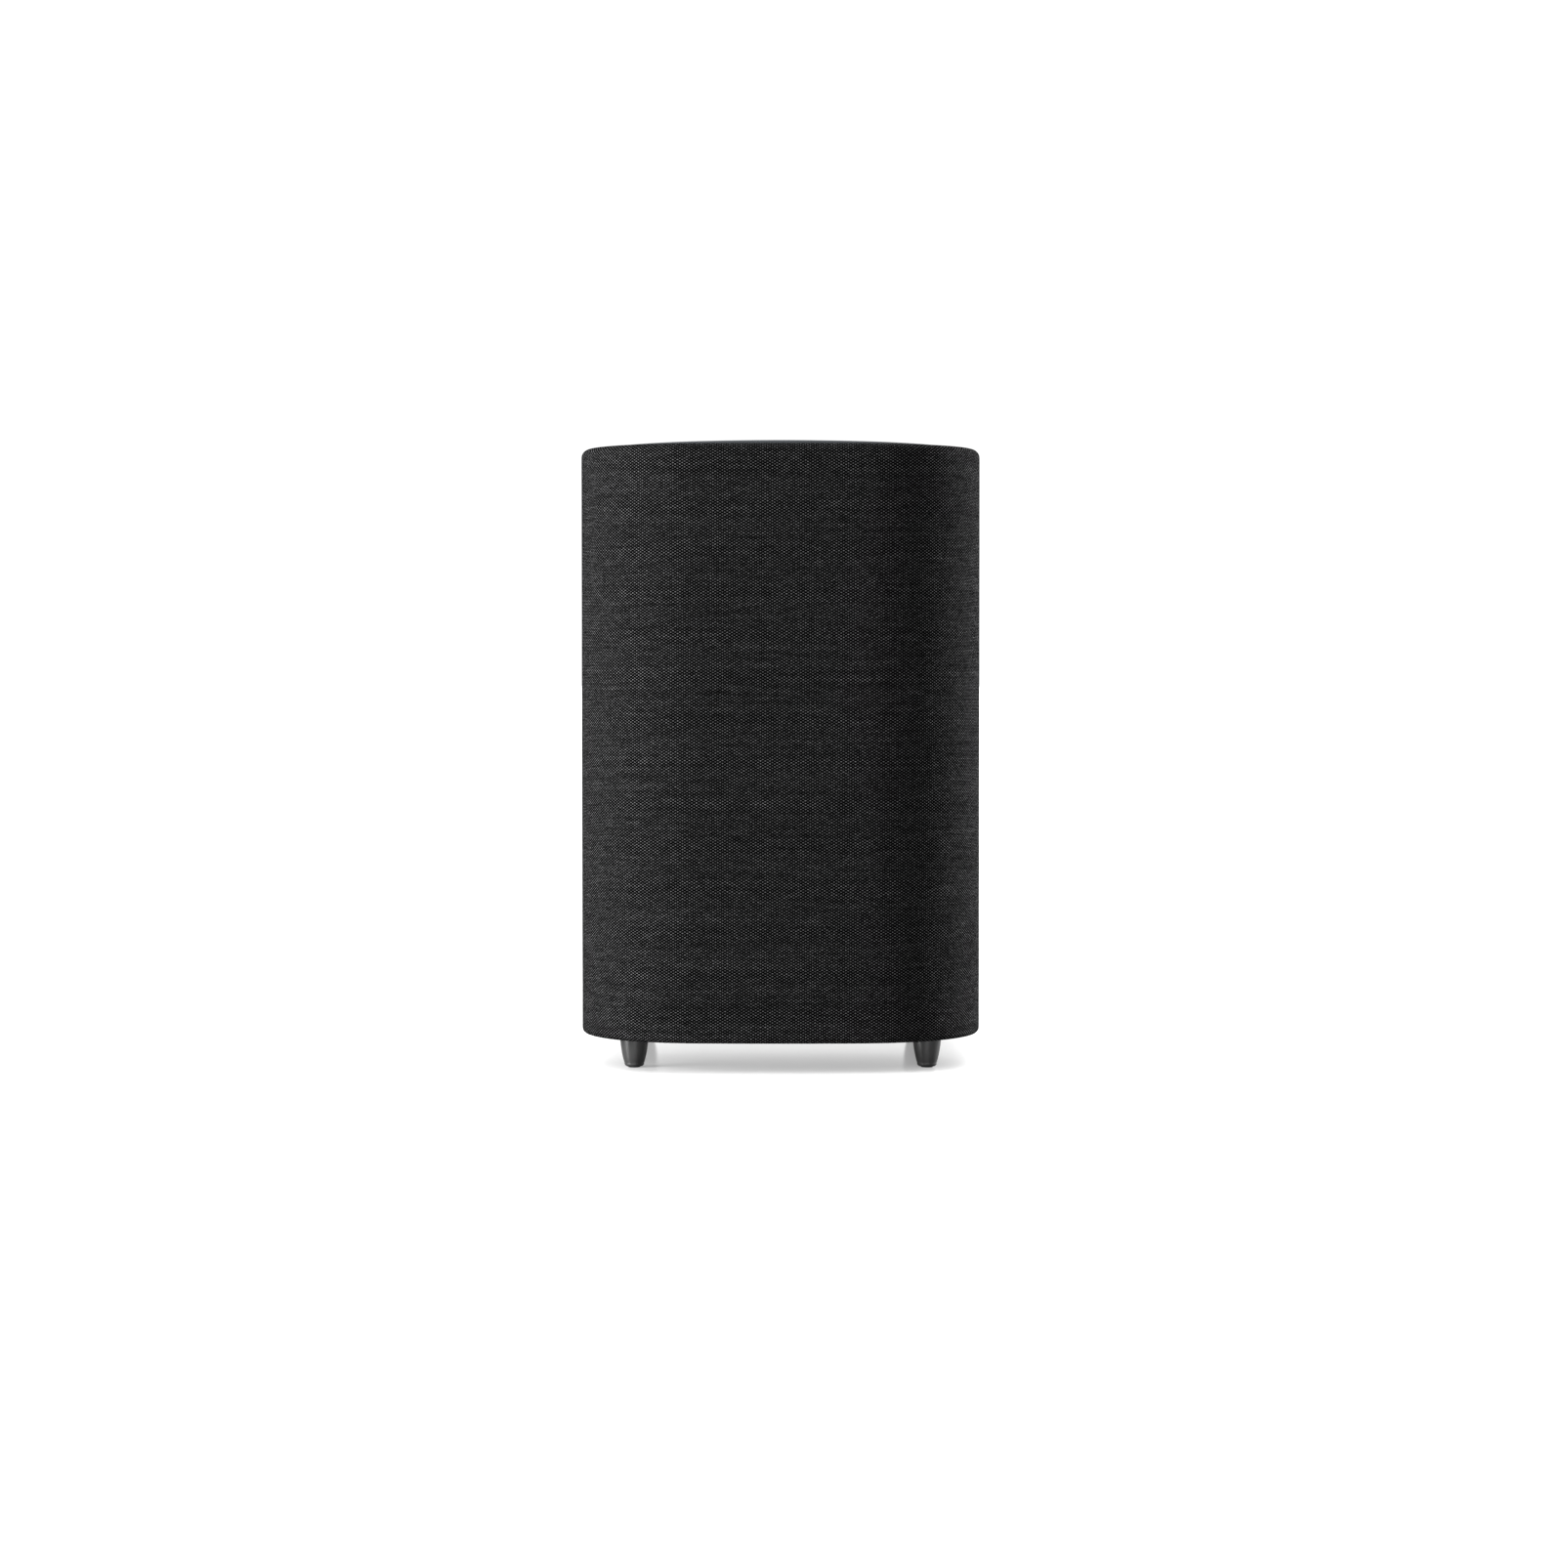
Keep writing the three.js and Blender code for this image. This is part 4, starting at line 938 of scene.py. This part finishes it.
def make_cone():
    """A straight paper cone with two shallow rings pressed into it."""
    wall, lip, neck = 0.9 * MM, CONE_EDGE - 4.6 * MM, COIL_RADIUS + 0.8 * MM
    foot, rise, ring_depth, ring_width = CONE_LO.z, CONE_HI.z - CONE_LO.z - 1.1 * MM, 0.35 * MM, 0.035
    below = []
    for t in [k / 60 for k in range(61)]:
        rings = sum(math.exp(-(((t - at) / ring_width) ** 2)) for at in (0.15, 0.45))
        below.append((lip + (neck - lip) * t, foot + rise * t + ring_depth * rings))
    profile = [(CONE_EDGE, foot), (CONE_EDGE, foot + wall), (lip + 0.6 * MM, foot + wall)]
    profile += [(r, z + wall) for r, z in below] + below[::-1]
    add_piece("paper_cone", over(lathe_mesh(profile, 192), "cone"), "cone", 50, "cone_assembly")


def make_dust_cap():
    """A shallow pressed dome with a glue bead round its rim."""
    lo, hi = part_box("dust_cap")
    radius, depth, skin = hi.x, hi.z - lo.z - 0.7 * MM, 0.6 * MM
    sphere = (radius**2 + depth**2) / (2 * depth)
    half = math.degrees(math.asin(radius / sphere))
    dome = arc(0, lo.z + sphere, sphere, -90, -90 + half, 36)
    rim = dome[-1][1]
    bead = [(radius + 0.05 * MM, rim + 0.25 * MM), (radius - 0.2 * MM, rim + 0.7 * MM)]
    back = arc(0, lo.z + sphere, sphere - skin, -91 + half, -90, 24)
    profile = [(r if r > 1e-6 else 0.0, z) for r, z in [*dome, *bead, *back]]
    add_piece("dust_dome", over(lathe_mesh(profile, 144), "cone"), "dust_cap", 50, "cone_assembly")


def make_spider():
    inner, outer = COIL_RADIUS + 0.9 * MM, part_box("spider")[1].x - 0.2 * MM
    steps, waves, cloth, level = 120, 7, 0.22 * MM, middle("spider").z
    line = []
    for t in [k / steps for k in range(steps + 1)]:
        wave = math.sin(2 * math.pi * waves * t) * MM * min(1.0, t / 0.06, (1 - t) / 0.08)
        line.append((inner + (outer - inner) * t, level + wave))
    profile = [(r, z - cloth) for r, z in line] + [(r, z + cloth) for r, z in reversed(line)]
    piece = add_piece("corrugated_spider", over(lathe_mesh(profile, 120), "cone"), "spider", 60, None)
    radial_blend(piece, inner + MM, outer - 3 * MM)


def make_trim_ring():
    lo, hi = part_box("woofer_trim_ring")
    inner = 89.2 * MM
    profile = [
        (inner, hi.z, 0.1 * MM), (inner, lo.z + 0.5 * MM, 0.5 * MM), (inner + 1.6 * MM, lo.z, 0.8 * MM),
        (hi.x - 1.2 * MM, lo.z, MM), (hi.x, lo.z + 0.7 * MM, 0.6 * MM), (hi.x, hi.z, 0.1 * MM),
    ]
    ring = link("trim_ring", over(lathe_mesh(fillet(profile, steps=5), 192), "cone"))
    combine(ring, bores(WOOFER_SCREWS, 2.1 * MM, lo.z - MM, hi.z + MM))
    stand_for(smooth(ring), "woofer_trim_ring")


# ---------- parts inside the cabinet ----------
def turned(node, profile, edge, segments=144):
    """Turns a profile about the middle of a CAD node. Radii, heights above its foot and edges are in mm."""
    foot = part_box(node)[0].z
    points = [(p[0] * MM, foot + p[1] * MM, (p[2] if len(p) > 2 else edge) * MM) for p in profile]
    return over(lathe_mesh(fillet(points, steps=3), segments), node)


YOKE = [(6, 0), (18.2, 0), (18.2, 28.2), (50, 28.2), (50, 34), (48, 36), (6, 36)]
MAGNET_SYSTEM = [  # piece, CAD node, edges, profile
    ("vented_yoke", "magnet_yoke", 0.6, YOKE),
    ("ring_magnet", "magnet", 1.2, [(30, 0), (55, 0), (55, 19.8), (30, 19.8)]),
    ("front_plate", "pole_plate", 0.5, [(21.4, 0), (50, 0), (50, 7.8), (21.4, 7.8)]),
]
BASKET = [
    (82, 0, 1), (100, 0, 0.5), (100, 1.5, 0.5), (89.6, 1.5, 1.2), (86, 18.5, 6), (66, 40.5, 3), (66, 47.5, 3),
    (53, 54.5, 3), (22.2, 54.5, 0.4), (22.2, 52.7, 0.4), (52, 52.7, 2), (64, 46, 2), (64, 39.7, 2),
    (84, 17.5, 5), (86, 1.5, 1),
]
CAN = [
    (0, 0.5), (7.6, 0.5, 0.2), (8, 0, 0.2), (8.9, 0, 0.9), (8.9, 26.5, 0.5), (8.2, 27.6, 0.5),
    (8.9, 28.7, 0.5), (8.9, 31.5, 0.5), (8.2, 32, 0.2), (0, 32),
]
EASED = [  # piece, CAD node, width of the bevel
    ("radio_card", "wireless_board", 0.15 * MM),
    ("terminal_strip", "woofer_terminal", 0.15 * MM),
    ("finned_sink", "heat_sink", 0.35 * MM),
    ("wound_transformer", "power_transformer", 0.6 * MM),
]


def make_magnet_system():
    for name, node, edge, profile in MAGNET_SYSTEM:
        add_piece(name, turned(node, profile, edge), node)


def make_voice_coil():
    """A thin former with one layer of round wire wound on it."""
    inner, former, wire, low, pitch, turns, top = 18.95, 19.65, 20.45, 20.0, 0.55, 40, 44
    steps = range(turns * 4 + 1)
    winding = [(wire + 0.13 * abs(math.sin(math.pi * k / 4)), low + pitch * k / 4) for k in steps]
    high = low + turns * pitch
    profile = [(inner, 0), (former, 0), (former, low), *winding, (former, high), (former, top), (inner, top)]
    coil = add_piece("wound_coil", turned("voice_coil", profile, 0, 120), "voice_coil", body="cone_assembly")
    paint_where(coil, "aluminium", lambda at: math.hypot(at.x, at.y - WOOFER_Y) < 19.8 * MM)


def make_basket():
    """Pressed steel: a flange, a sloped wall with six windows, the spider's ledge and the magnet's seat."""
    basket = link("pressed_basket", turned("woofer_basket", BASKET, 0, 192))
    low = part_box("woofer_basket")[0].z
    tools = []
    for k in range(6):
        window = prism_mesh(rectangle(40 * MM, 27 * MM, 6 * MM, 0, low + 23 * MM), 58 * MM, 110 * MM)
        window.transform(Matrix.Rotation(math.radians(30 + 60 * k), 4, "Z"))
        tools.append(over(window, "cone"))
    combine(basket, tools + bores(WOOFER_SCREWS, 2.2 * MM, low - MM, low + 3 * MM))
    stand_for(smooth(bevel(basket, 0.3 * MM, 2, 45), 45), "woofer_basket")


def make_boards():
    """Top board and brace: cut from sheet, with eased edges. The brace is a frame."""
    ease, hole = 0.6 * MM, 42 * MM
    for node, name in (("top_board", "inner_top"), ("window_brace", "frame_brace")):
        lo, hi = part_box(node)
        rim, hollow = HALF_WIDTH - hi.x, node == "window_brace"
        section = [(rim + ease, lo.z), (rim, lo.z + ease), (rim, hi.z - ease), (rim + ease, hi.z)]
        if hollow:
            section += [(hole - ease, hi.z), (hole, hi.z - ease), (hole, lo.z + ease), (hole - ease, lo.z)]
        stand_for(keep_flat(smooth(plan_panel(name, section, hollow)), 2), node)


def eased_copy(name, node, edge):
    """A copy of a boxy CAD part with its edges eased."""
    piece = link(name, tidy_mesh(frame["nodes"][node].data.copy()))
    modify(piece, "DECIMATE", decimate_type="DISSOLVE", angle_limit=math.radians(1))
    return stand_for(smooth(bevel(piece, edge, 2, 30), 35), node)


def make_electronics():
    make_main_board()
    for name, node, edge in EASED:
        piece = eased_copy(name, node, edge)
        if node == "power_transformer":
            middle_x, winding = middle(node).x, 11.1 * MM
            paint_where(piece, "copper", lambda at: abs(at.x - middle_x) > winding)
    can = fillet(mm(CAN))
    for side in ("left", "right"):
        node = f"capacitor_{side}"
        foot, (x, _, z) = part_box(node)[0].y, middle(node)
        mesh = turned_to_y(lathe_mesh(can, 72), x, foot, z)
        piece = add_piece(f"capacitor_can_{side}", mesh, node)
        vent = 7.9 * MM
        paint_where(piece, "aluminium", lambda at: at.y < foot + MM and math.hypot(at.x - x, at.z - z) < vent)
    cable = link("speaker_lead", tidy_mesh(frame["nodes"]["speaker_cable"].data.copy()))
    stand_for(smooth(modify(cable, "SUBSURF", levels=2), 60), "speaker_cable")


def make_main_board():
    """The circuit board with its post holes and rows of small parts on the side that faces the rear plate."""
    width, _, height = size("main_board")
    outline = rectangle(width, height, 2 * MM, 0, middle("main_board").z)
    board = link("amplifier_board", prism_mesh(outline, BOARD_LO.y, BOARD_HI.y))
    low, high = BOARD_LO.y - MM, BOARD_HI.y + MM
    combine(board, [disc_along_y(1.6 * MM, low, high, x, z, 32) for x, z in BOARD_HOLES])
    rng = random.Random(8)
    chips = []
    for row in range(6):
        for column in range(7):
            x, z = (column - 3) * 9 * MM, (86 + row * 7) * MM
            chip = rng.uniform(2.5, 6.5) * MM, rng.uniform(1.6, 4.5) * MM
            top = BOARD_HI.y + rng.uniform(0.6, 1.6) * MM
            chips.append(prism_mesh(rectangle(*chip, 0.2 * MM, x, z, 2), low + 2 * MM, top))
    bevel(combine(board, chips, "UNION"), 0.12 * MM, 2, 50)
    stand_for(keep_flat(smooth(board), 1), "main_board")
    paint_where(board, "case_plastic", lambda at: at.y > BOARD_HI.y + 0.1 * MM)


# ---------- rear panel ----------
def cut_sheet(name, outer, inner, outline):
    """A bowed sheet between two insets from the back of the cloth, cut to an outline seen from behind."""
    columns = 60
    xs = [(-60 + 120 * k / columns) * MM for k in range(columns + 1)]
    section = [(x, back_face_y(x, outer)) for x in xs] + [(x, back_face_y(x, inner)) for x in reversed(xs)]
    n = len(section)
    vertices = [(x, y, z) for z in (REAR_LO.z - MM, REAR_HI.z + MM) for x, y in section]
    faces = [(k, (k + 1) % n, n + (k + 1) % n, n + k) for k in range(n)]
    for k in range(columns):
        low = [k, k + 1, n - 2 - k, n - 1 - k]
        faces += [low, [corner + n for corner in low]]
    sheet = link(name, tidy_mesh(mesh_of(vertices, faces)))
    return combine(sheet, [prism_mesh(outline, REAR_LO.y - 40 * MM, REAR_HI.y + 20 * MM)], "INTERSECT")


def make_rear_plate():
    lip = rectangle(PLATE_WIDTH, PLATE_HEIGHT, 17 * MM, 0, PLATE_Z, 14)
    inside_lip = rectangle(PLATE_WIDTH - 5 * MM, PLATE_HEIGHT - 5 * MM, 14.5 * MM, 0, PLATE_Z, 14)
    lip = cut_sheet("lip", -1.3 * MM, -0.3 * MM, lip)
    plate = cut_sheet("rear_panel", -1.2 * MM, 4 * MM, inside_lip)
    combine(plate, [mesh_from(lip), *standoffs()], "UNION")
    bevel(combine(plate, rear_cutters()), 0.28 * MM, 3, 40)
    stand_for(keep_flat(smooth(plate, 50), 1), "rear_plate")


def standoffs():
    """Tapered posts that carry the main board behind the plate."""
    reach = REAR_HI.y - 4 * MM - REAR_LO.y
    post = fillet([(0, 0), (3.1 * MM, 0, 0.4 * MM), (3.4 * MM, reach), (0, reach)])
    return [turned_to_y(lathe_mesh(post, 48), x, REAR_LO.y, z) for x, z in BOARD_HOLES]


def rear_cutters():
    """Recesses and holes of the rear plate: control field, port seat, inlet, button, light and screws."""
    face, deep, out = REAR_HI.y, REAR_LO.y - 40 * MM, REAR_HI.y + 20 * MM
    low, high = INLET_Z - 19 * MM, LIGHT_Z + 9 * MM
    field = rectangle(62 * MM, high - low, 6 * MM, 0, (low + high) / 2)
    width, _, height = size("power_inlet")
    seat = rectangle(width + 0.8 * MM, height + 0.8 * MM, 3 * MM, 0, INLET_Z)
    hole = rectangle(width - 3 * MM, height - 3 * MM, 2 * MM, 0, INLET_Z)
    dish = mm([(0, -30), (5.3, -30), (5.3, 0), (8.2, 1.3), (8.2, 5), (0, 5)])
    flange, port_seat = size("port_tube").x / 2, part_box("port_tube")[1].y - 2.5 * MM
    return [
        mesh_from(cut_sheet("field", -20 * MM, -0.4 * MM, field)),
        disc_along_y(flange + 0.5 * MM, port_seat, out, 0, PORT_Z, 128),
        disc_along_y(flange - 2.4 * MM, deep, out, 0, PORT_Z, 128),
        prism_mesh(seat, INLET_HI.y - 1.6 * MM, out),
        prism_mesh(hole, deep, out),
        turned_to_y(lathe_mesh(dish, 72), 0, face - 1.9 * MM, BUTTON_Z),
        disc_along_y(1.75 * MM, deep, out, 0, LIGHT_Z, 40),
        *[disc_along_y(2.1 * MM, deep, out, at.x, at.z, 40) for at in map(middle, REAR_SCREWS)],
    ]


def make_port():
    """A flared tube: seat flange, rounded mouth, straight bore and a second flare inside the cabinet."""
    flange, length = size("port_tube").x / 2, size("port_tube").y
    bore, mouth, wall, flare, tail = 23.5 * MM, 31 * MM, 2 * MM, 16 * MM, 10 * MM
    profile = []
    for a in [math.pi / 2 * k / 16 for k in range(17)]:
        profile.append((mouth - (mouth - bore) * math.sin(a), -0.4 * MM - flare * (1 - math.cos(a))))
    for a in [math.pi / 2 * (1 - k / 12) for k in range(13)]:
        profile.append((bore + 5 * MM * (1 - math.sin(a)), 0.3 * MM - length + tail * (1 - math.cos(a))))
    profile += [(bore + 5.6 * MM, -length), (bore + 6.6 * MM, 0.5 * MM - length)]
    profile += [(bore + wall, tail - length), (bore + wall, -flare - MM)]
    profile += [(mouth + wall, -3.8 * MM), (mouth + wall, -2.2 * MM)]
    profile += [(flange, -2.2 * MM), (flange, -1.2 * MM), (flange - 0.4 * MM, -0.7 * MM)]
    profile += [(mouth + 2.8 * MM, 0.0), (mouth + 1.6 * MM, 0.0), (mouth + 0.6 * MM, -0.08 * MM)]
    mesh = turned_to_y(lathe_mesh(profile, 144), 0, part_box("port_tube")[1].y, PORT_Z)
    add_piece("flared_port", mesh, "port_tube", 35)


def make_inlet():
    """A two-pin appliance inlet: a rounded block with a figure-of-eight socket and two pins."""
    width, _, height = size("power_inlet")
    face, floor = INLET_HI.y, INLET_HI.y - 12.6 * MM
    flange = rectangle(width, height, 2.6 * MM, 0, INLET_Z)
    barrel = rectangle(22 * MM, 16 * MM, 1.6 * MM, 0, INLET_Z, 6)
    block = link("two_pin_inlet", prism_mesh(flange, face - 1.4 * MM, face))
    combine(block, [prism_mesh(barrel, INLET_LO.y, face - 0.5 * MM)], "UNION")
    lobe, offset, waist, pin_x, pin_radius, pin_length = 4.5 * MM, 3.9 * MM, 38, 4.3 * MM, 1.15 * MM, 9.2 * MM
    right = arc(offset, INLET_Z, lobe, -180 + waist, 180 - waist, 24)
    left = arc(-offset, INLET_Z, lobe, waist, 360 - waist, 24)
    combine(block, [prism_mesh(right + left, floor, face + 5 * MM)])
    bevel(block, 0.3 * MM, 3, 40)
    pin = fillet([(0, 0), (pin_radius, 0), (pin_radius, pin_length, 0.6 * MM), (0, pin_length)], steps=5)
    pins = [turned_to_y(lathe_mesh(pin, 32), side * pin_x, floor - 0.4 * MM, INLET_Z) for side in (-1, 1)]
    smooth(combine(block, pins, "UNION"), 50)
    stand_for(modify(block, "WEIGHTED_NORMAL", keep_sharp=True, weight=100), "power_inlet")

    def on_a_pin(at):
        reach = min(math.hypot(at.x - side * pin_x, at.z - INLET_Z) for side in (-1, 1))
        return reach < 1.2 * MM and floor < at.y < face - MM

    paint_where(block, "zinc", on_a_pin)


def make_button():
    """A stem with a collar behind the plate and a cap with a dished face."""
    length, cap, edge = size("pairing_button").y, 4.9 * MM, 0.6 * MM
    radii = [(cap - 0.7 * MM) * k / 12 for k in range(13)]
    dish = [(r, length - 0.45 * MM + 0.35 * MM * (r / cap) ** 2) for r in radii]
    stem = mm([(0, 0), (2, 0), (2, 10.4), (6.2, 10.4), (6.2, 12), (4.9, 12)])
    mesh = lathe_mesh([*stem, *arc(cap - edge, length - edge, edge, 0, 80, 6), *reversed(dish)])
    turned_to_y(mesh, 0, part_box("pairing_button")[0].y, BUTTON_Z)
    add_piece("push_button", mesh, "pairing_button", 30, "pairing_button")


def make_light():
    """A light pipe with a collar behind the plate and a domed end."""
    length, radius, dome = size("status_light").y, 1.5 * MM, 0.9 * MM
    profile = mm([(0, 0), (1.5, 0), (1.5, 6.4), (2.4, 6.4), (2.4, 7.8), (1.5, 7.8)])
    for a in [math.pi / 2 * k / 10 for k in range(10)]:
        profile.append((radius * math.cos(a), length - dome + dome * math.sin(a)))
    mesh = turned_to_y(lathe_mesh([*profile, (0, length)], 48), 0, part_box("status_light")[0].y, LIGHT_Z)
    add_piece("light_dome", mesh, "status_light")


# ---------- stage ----------
CAMERA_DISTANCE = 2.186  # to the front of the cloth
CAMERA_HEIGHT = 0.2362
FOCAL = 85.85
AIM_X, AIM_Z = 0.0020, 0.1707  # where the camera's axis meets the front of the cloth
FLOOR_REACH = 60
FLOOR_GLOW = 0.3
AMBIENT, WORLD_SEEN = 0.3, 1.05


def make_floor():
    """Near-white to the camera, dim in reflections and seen through from below."""
    corners = [(x * FLOOR_REACH, y * FLOOR_REACH, 0) for x, y in ((-1, -1), (1, -1), (1, 1), (-1, 1))]
    floor = link("floor", mesh_of(corners, [(0, 1, 2, 3)]))
    f = Finish("pale_floor", roughness=0.16, specular_ior_level=0.65)
    seen = f.node("LightPath").outputs["Is Camera Ray"]
    paper = f.mix(f.noise(3.0), grey(0.79), grey(0.8))
    f.set(base_color=f.mix(seen, grey(0.18), paper))
    glow = f.node("Emission", {"Color": (1, 1, 1, 1), "Strength": f.times(seen, FLOOR_GLOW)})
    lit = f.node("AddShader", {0: f.shader.outputs[0], 1: glow.outputs[0]}).outputs[0]
    from_below = f.node("NewGeometry").outputs["Backfacing"]
    clear = f.node("BsdfTransparent").outputs[0]
    total = f.node("MixShader", {0: from_below, 1: lit, 2: clear}).outputs[0]
    f.put(f.tree.nodes["Material Output"].inputs[0], total)
    floor.data.materials.append(f.material)
    return floor


def make_world():
    """White to the camera and in reflections, a dim even fill for everything else."""
    world = bpy.data.worlds.new("studio")
    bpy.context.scene.world = world
    world.use_nodes = True
    nodes, links = world.node_tree.nodes, world.node_tree.links
    ray = nodes.new("ShaderNodeLightPath").outputs
    bright = nodes.new("ShaderNodeMath")
    bright.operation = "MAXIMUM"
    mix = nodes.new("ShaderNodeMix")
    mix.inputs[2].default_value = AMBIENT
    mix.inputs[3].default_value = WORLD_SEEN
    background = nodes["Background"].inputs
    background["Color"].default_value = (1, 1, 1, 1)
    links.new(ray["Is Camera Ray"], bright.inputs[0])
    links.new(ray["Is Glossy Ray"], bright.inputs[1])
    links.new(bright.outputs[0], mix.inputs[0])
    links.new(mix.outputs[0], background["Strength"])


def lamp_of(name, kind, energy, **settings):
    light = bpy.data.lights.new(name, kind)
    light.energy = energy
    for key, value in settings.items():
        setattr(light, key, value)
    return link(name, light)


def light_only(lamp, receiver, state):
    """Lets a lamp light one object alone (INCLUDE) or everything but that object (EXCLUDE)."""
    group = bpy.data.collections.new(lamp.name + "_reach")
    group.objects.link(receiver)
    lamp.light_linking.receiver_collection = group
    group.collection_objects[0].light_linking.link_state = state


def softbox(name, azimuth, elevation, width, height, power, distance=2.2):
    """A lamp aimed at the middle of the body; azimuth 0 is straight in front, 90 to the right."""
    lamp = lamp_of(name, "AREA", power, shape="RECTANGLE", size=width, size_y=height)
    around, up = math.radians(azimuth), math.radians(elevation)
    to_lamp = Vector((math.sin(around) * math.cos(up), -math.cos(around) * math.cos(up), math.sin(up)))
    lamp.location = Vector((0, 0, BODY_TOP / 2)) + to_lamp * distance
    lamp.rotation_euler = to_lamp.to_track_quat("Z", "Y").to_euler()
    return lamp


def overhead(name, energy, spread, tilt=0):
    """Wide light from above, tilted towards the front by some degrees."""
    lamp = lamp_of(name, "SUN", energy, angle=math.radians(spread))
    lamp.rotation_euler.x = math.radians(tilt)
    return lamp


def make_lights(floor):
    softbox("key", -64, 12, 0.9, 1.3, 82)
    light_only(softbox("rim", 118, 12, 0.6, 1.3, 110), floor, "EXCLUDE")
    overhead("ceiling", 1.1, 75)
    light_only(overhead("floor_wash", 4.2, 100, 12), floor, "INCLUDE")
    light_only(softbox("floor_front", 0, 14, 1.6, 1.0, 32), floor, "INCLUDE")
    below = lamp_of("below", "AREA", 0.15, size=160 * MM)
    below.location.z = MM
    below.rotation_euler.x = math.pi
    below.visible_camera = below.visible_glossy = False


def make_camera():
    scene = bpy.context.scene
    camera = link("camera", bpy.data.cameras.new("camera"))
    camera.location = (0, SLEEVE_LO.y - CAMERA_DISTANCE, CAMERA_HEIGHT)
    aim = Vector((AIM_X, SLEEVE_LO.y, AIM_Z)) - camera.location
    camera.rotation_euler = aim.to_track_quat("-Z", "Y").to_euler()
    camera.data.lens = FOCAL
    camera.data.clip_start = 0.05
    scene.camera = camera
    scene.view_settings.view_transform = "Standard"


finish_cad_nodes()
make_sleeve()
make_seam_stitches()
make_cover()
make_feet()
make_base()
make_screws(BASE_SCREWS)
make_screws(WOOFER_SCREWS)
make_screws([f"foot_screw_{place}" for place in FEET])
make_screws(REAR_SCREWS, 2.0 * MM, faces_back=True)
make_surround()
make_cone()
make_dust_cap()
make_spider()
make_trim_ring()
make_rear_plate()
make_port()
make_inlet()
make_button()
make_light()
make_damping_pads()
make_magnet_system()
make_voice_coil()
make_basket()
make_boards()
make_electronics()
floor = make_floor()
make_world()
make_lights(floor)
make_camera()
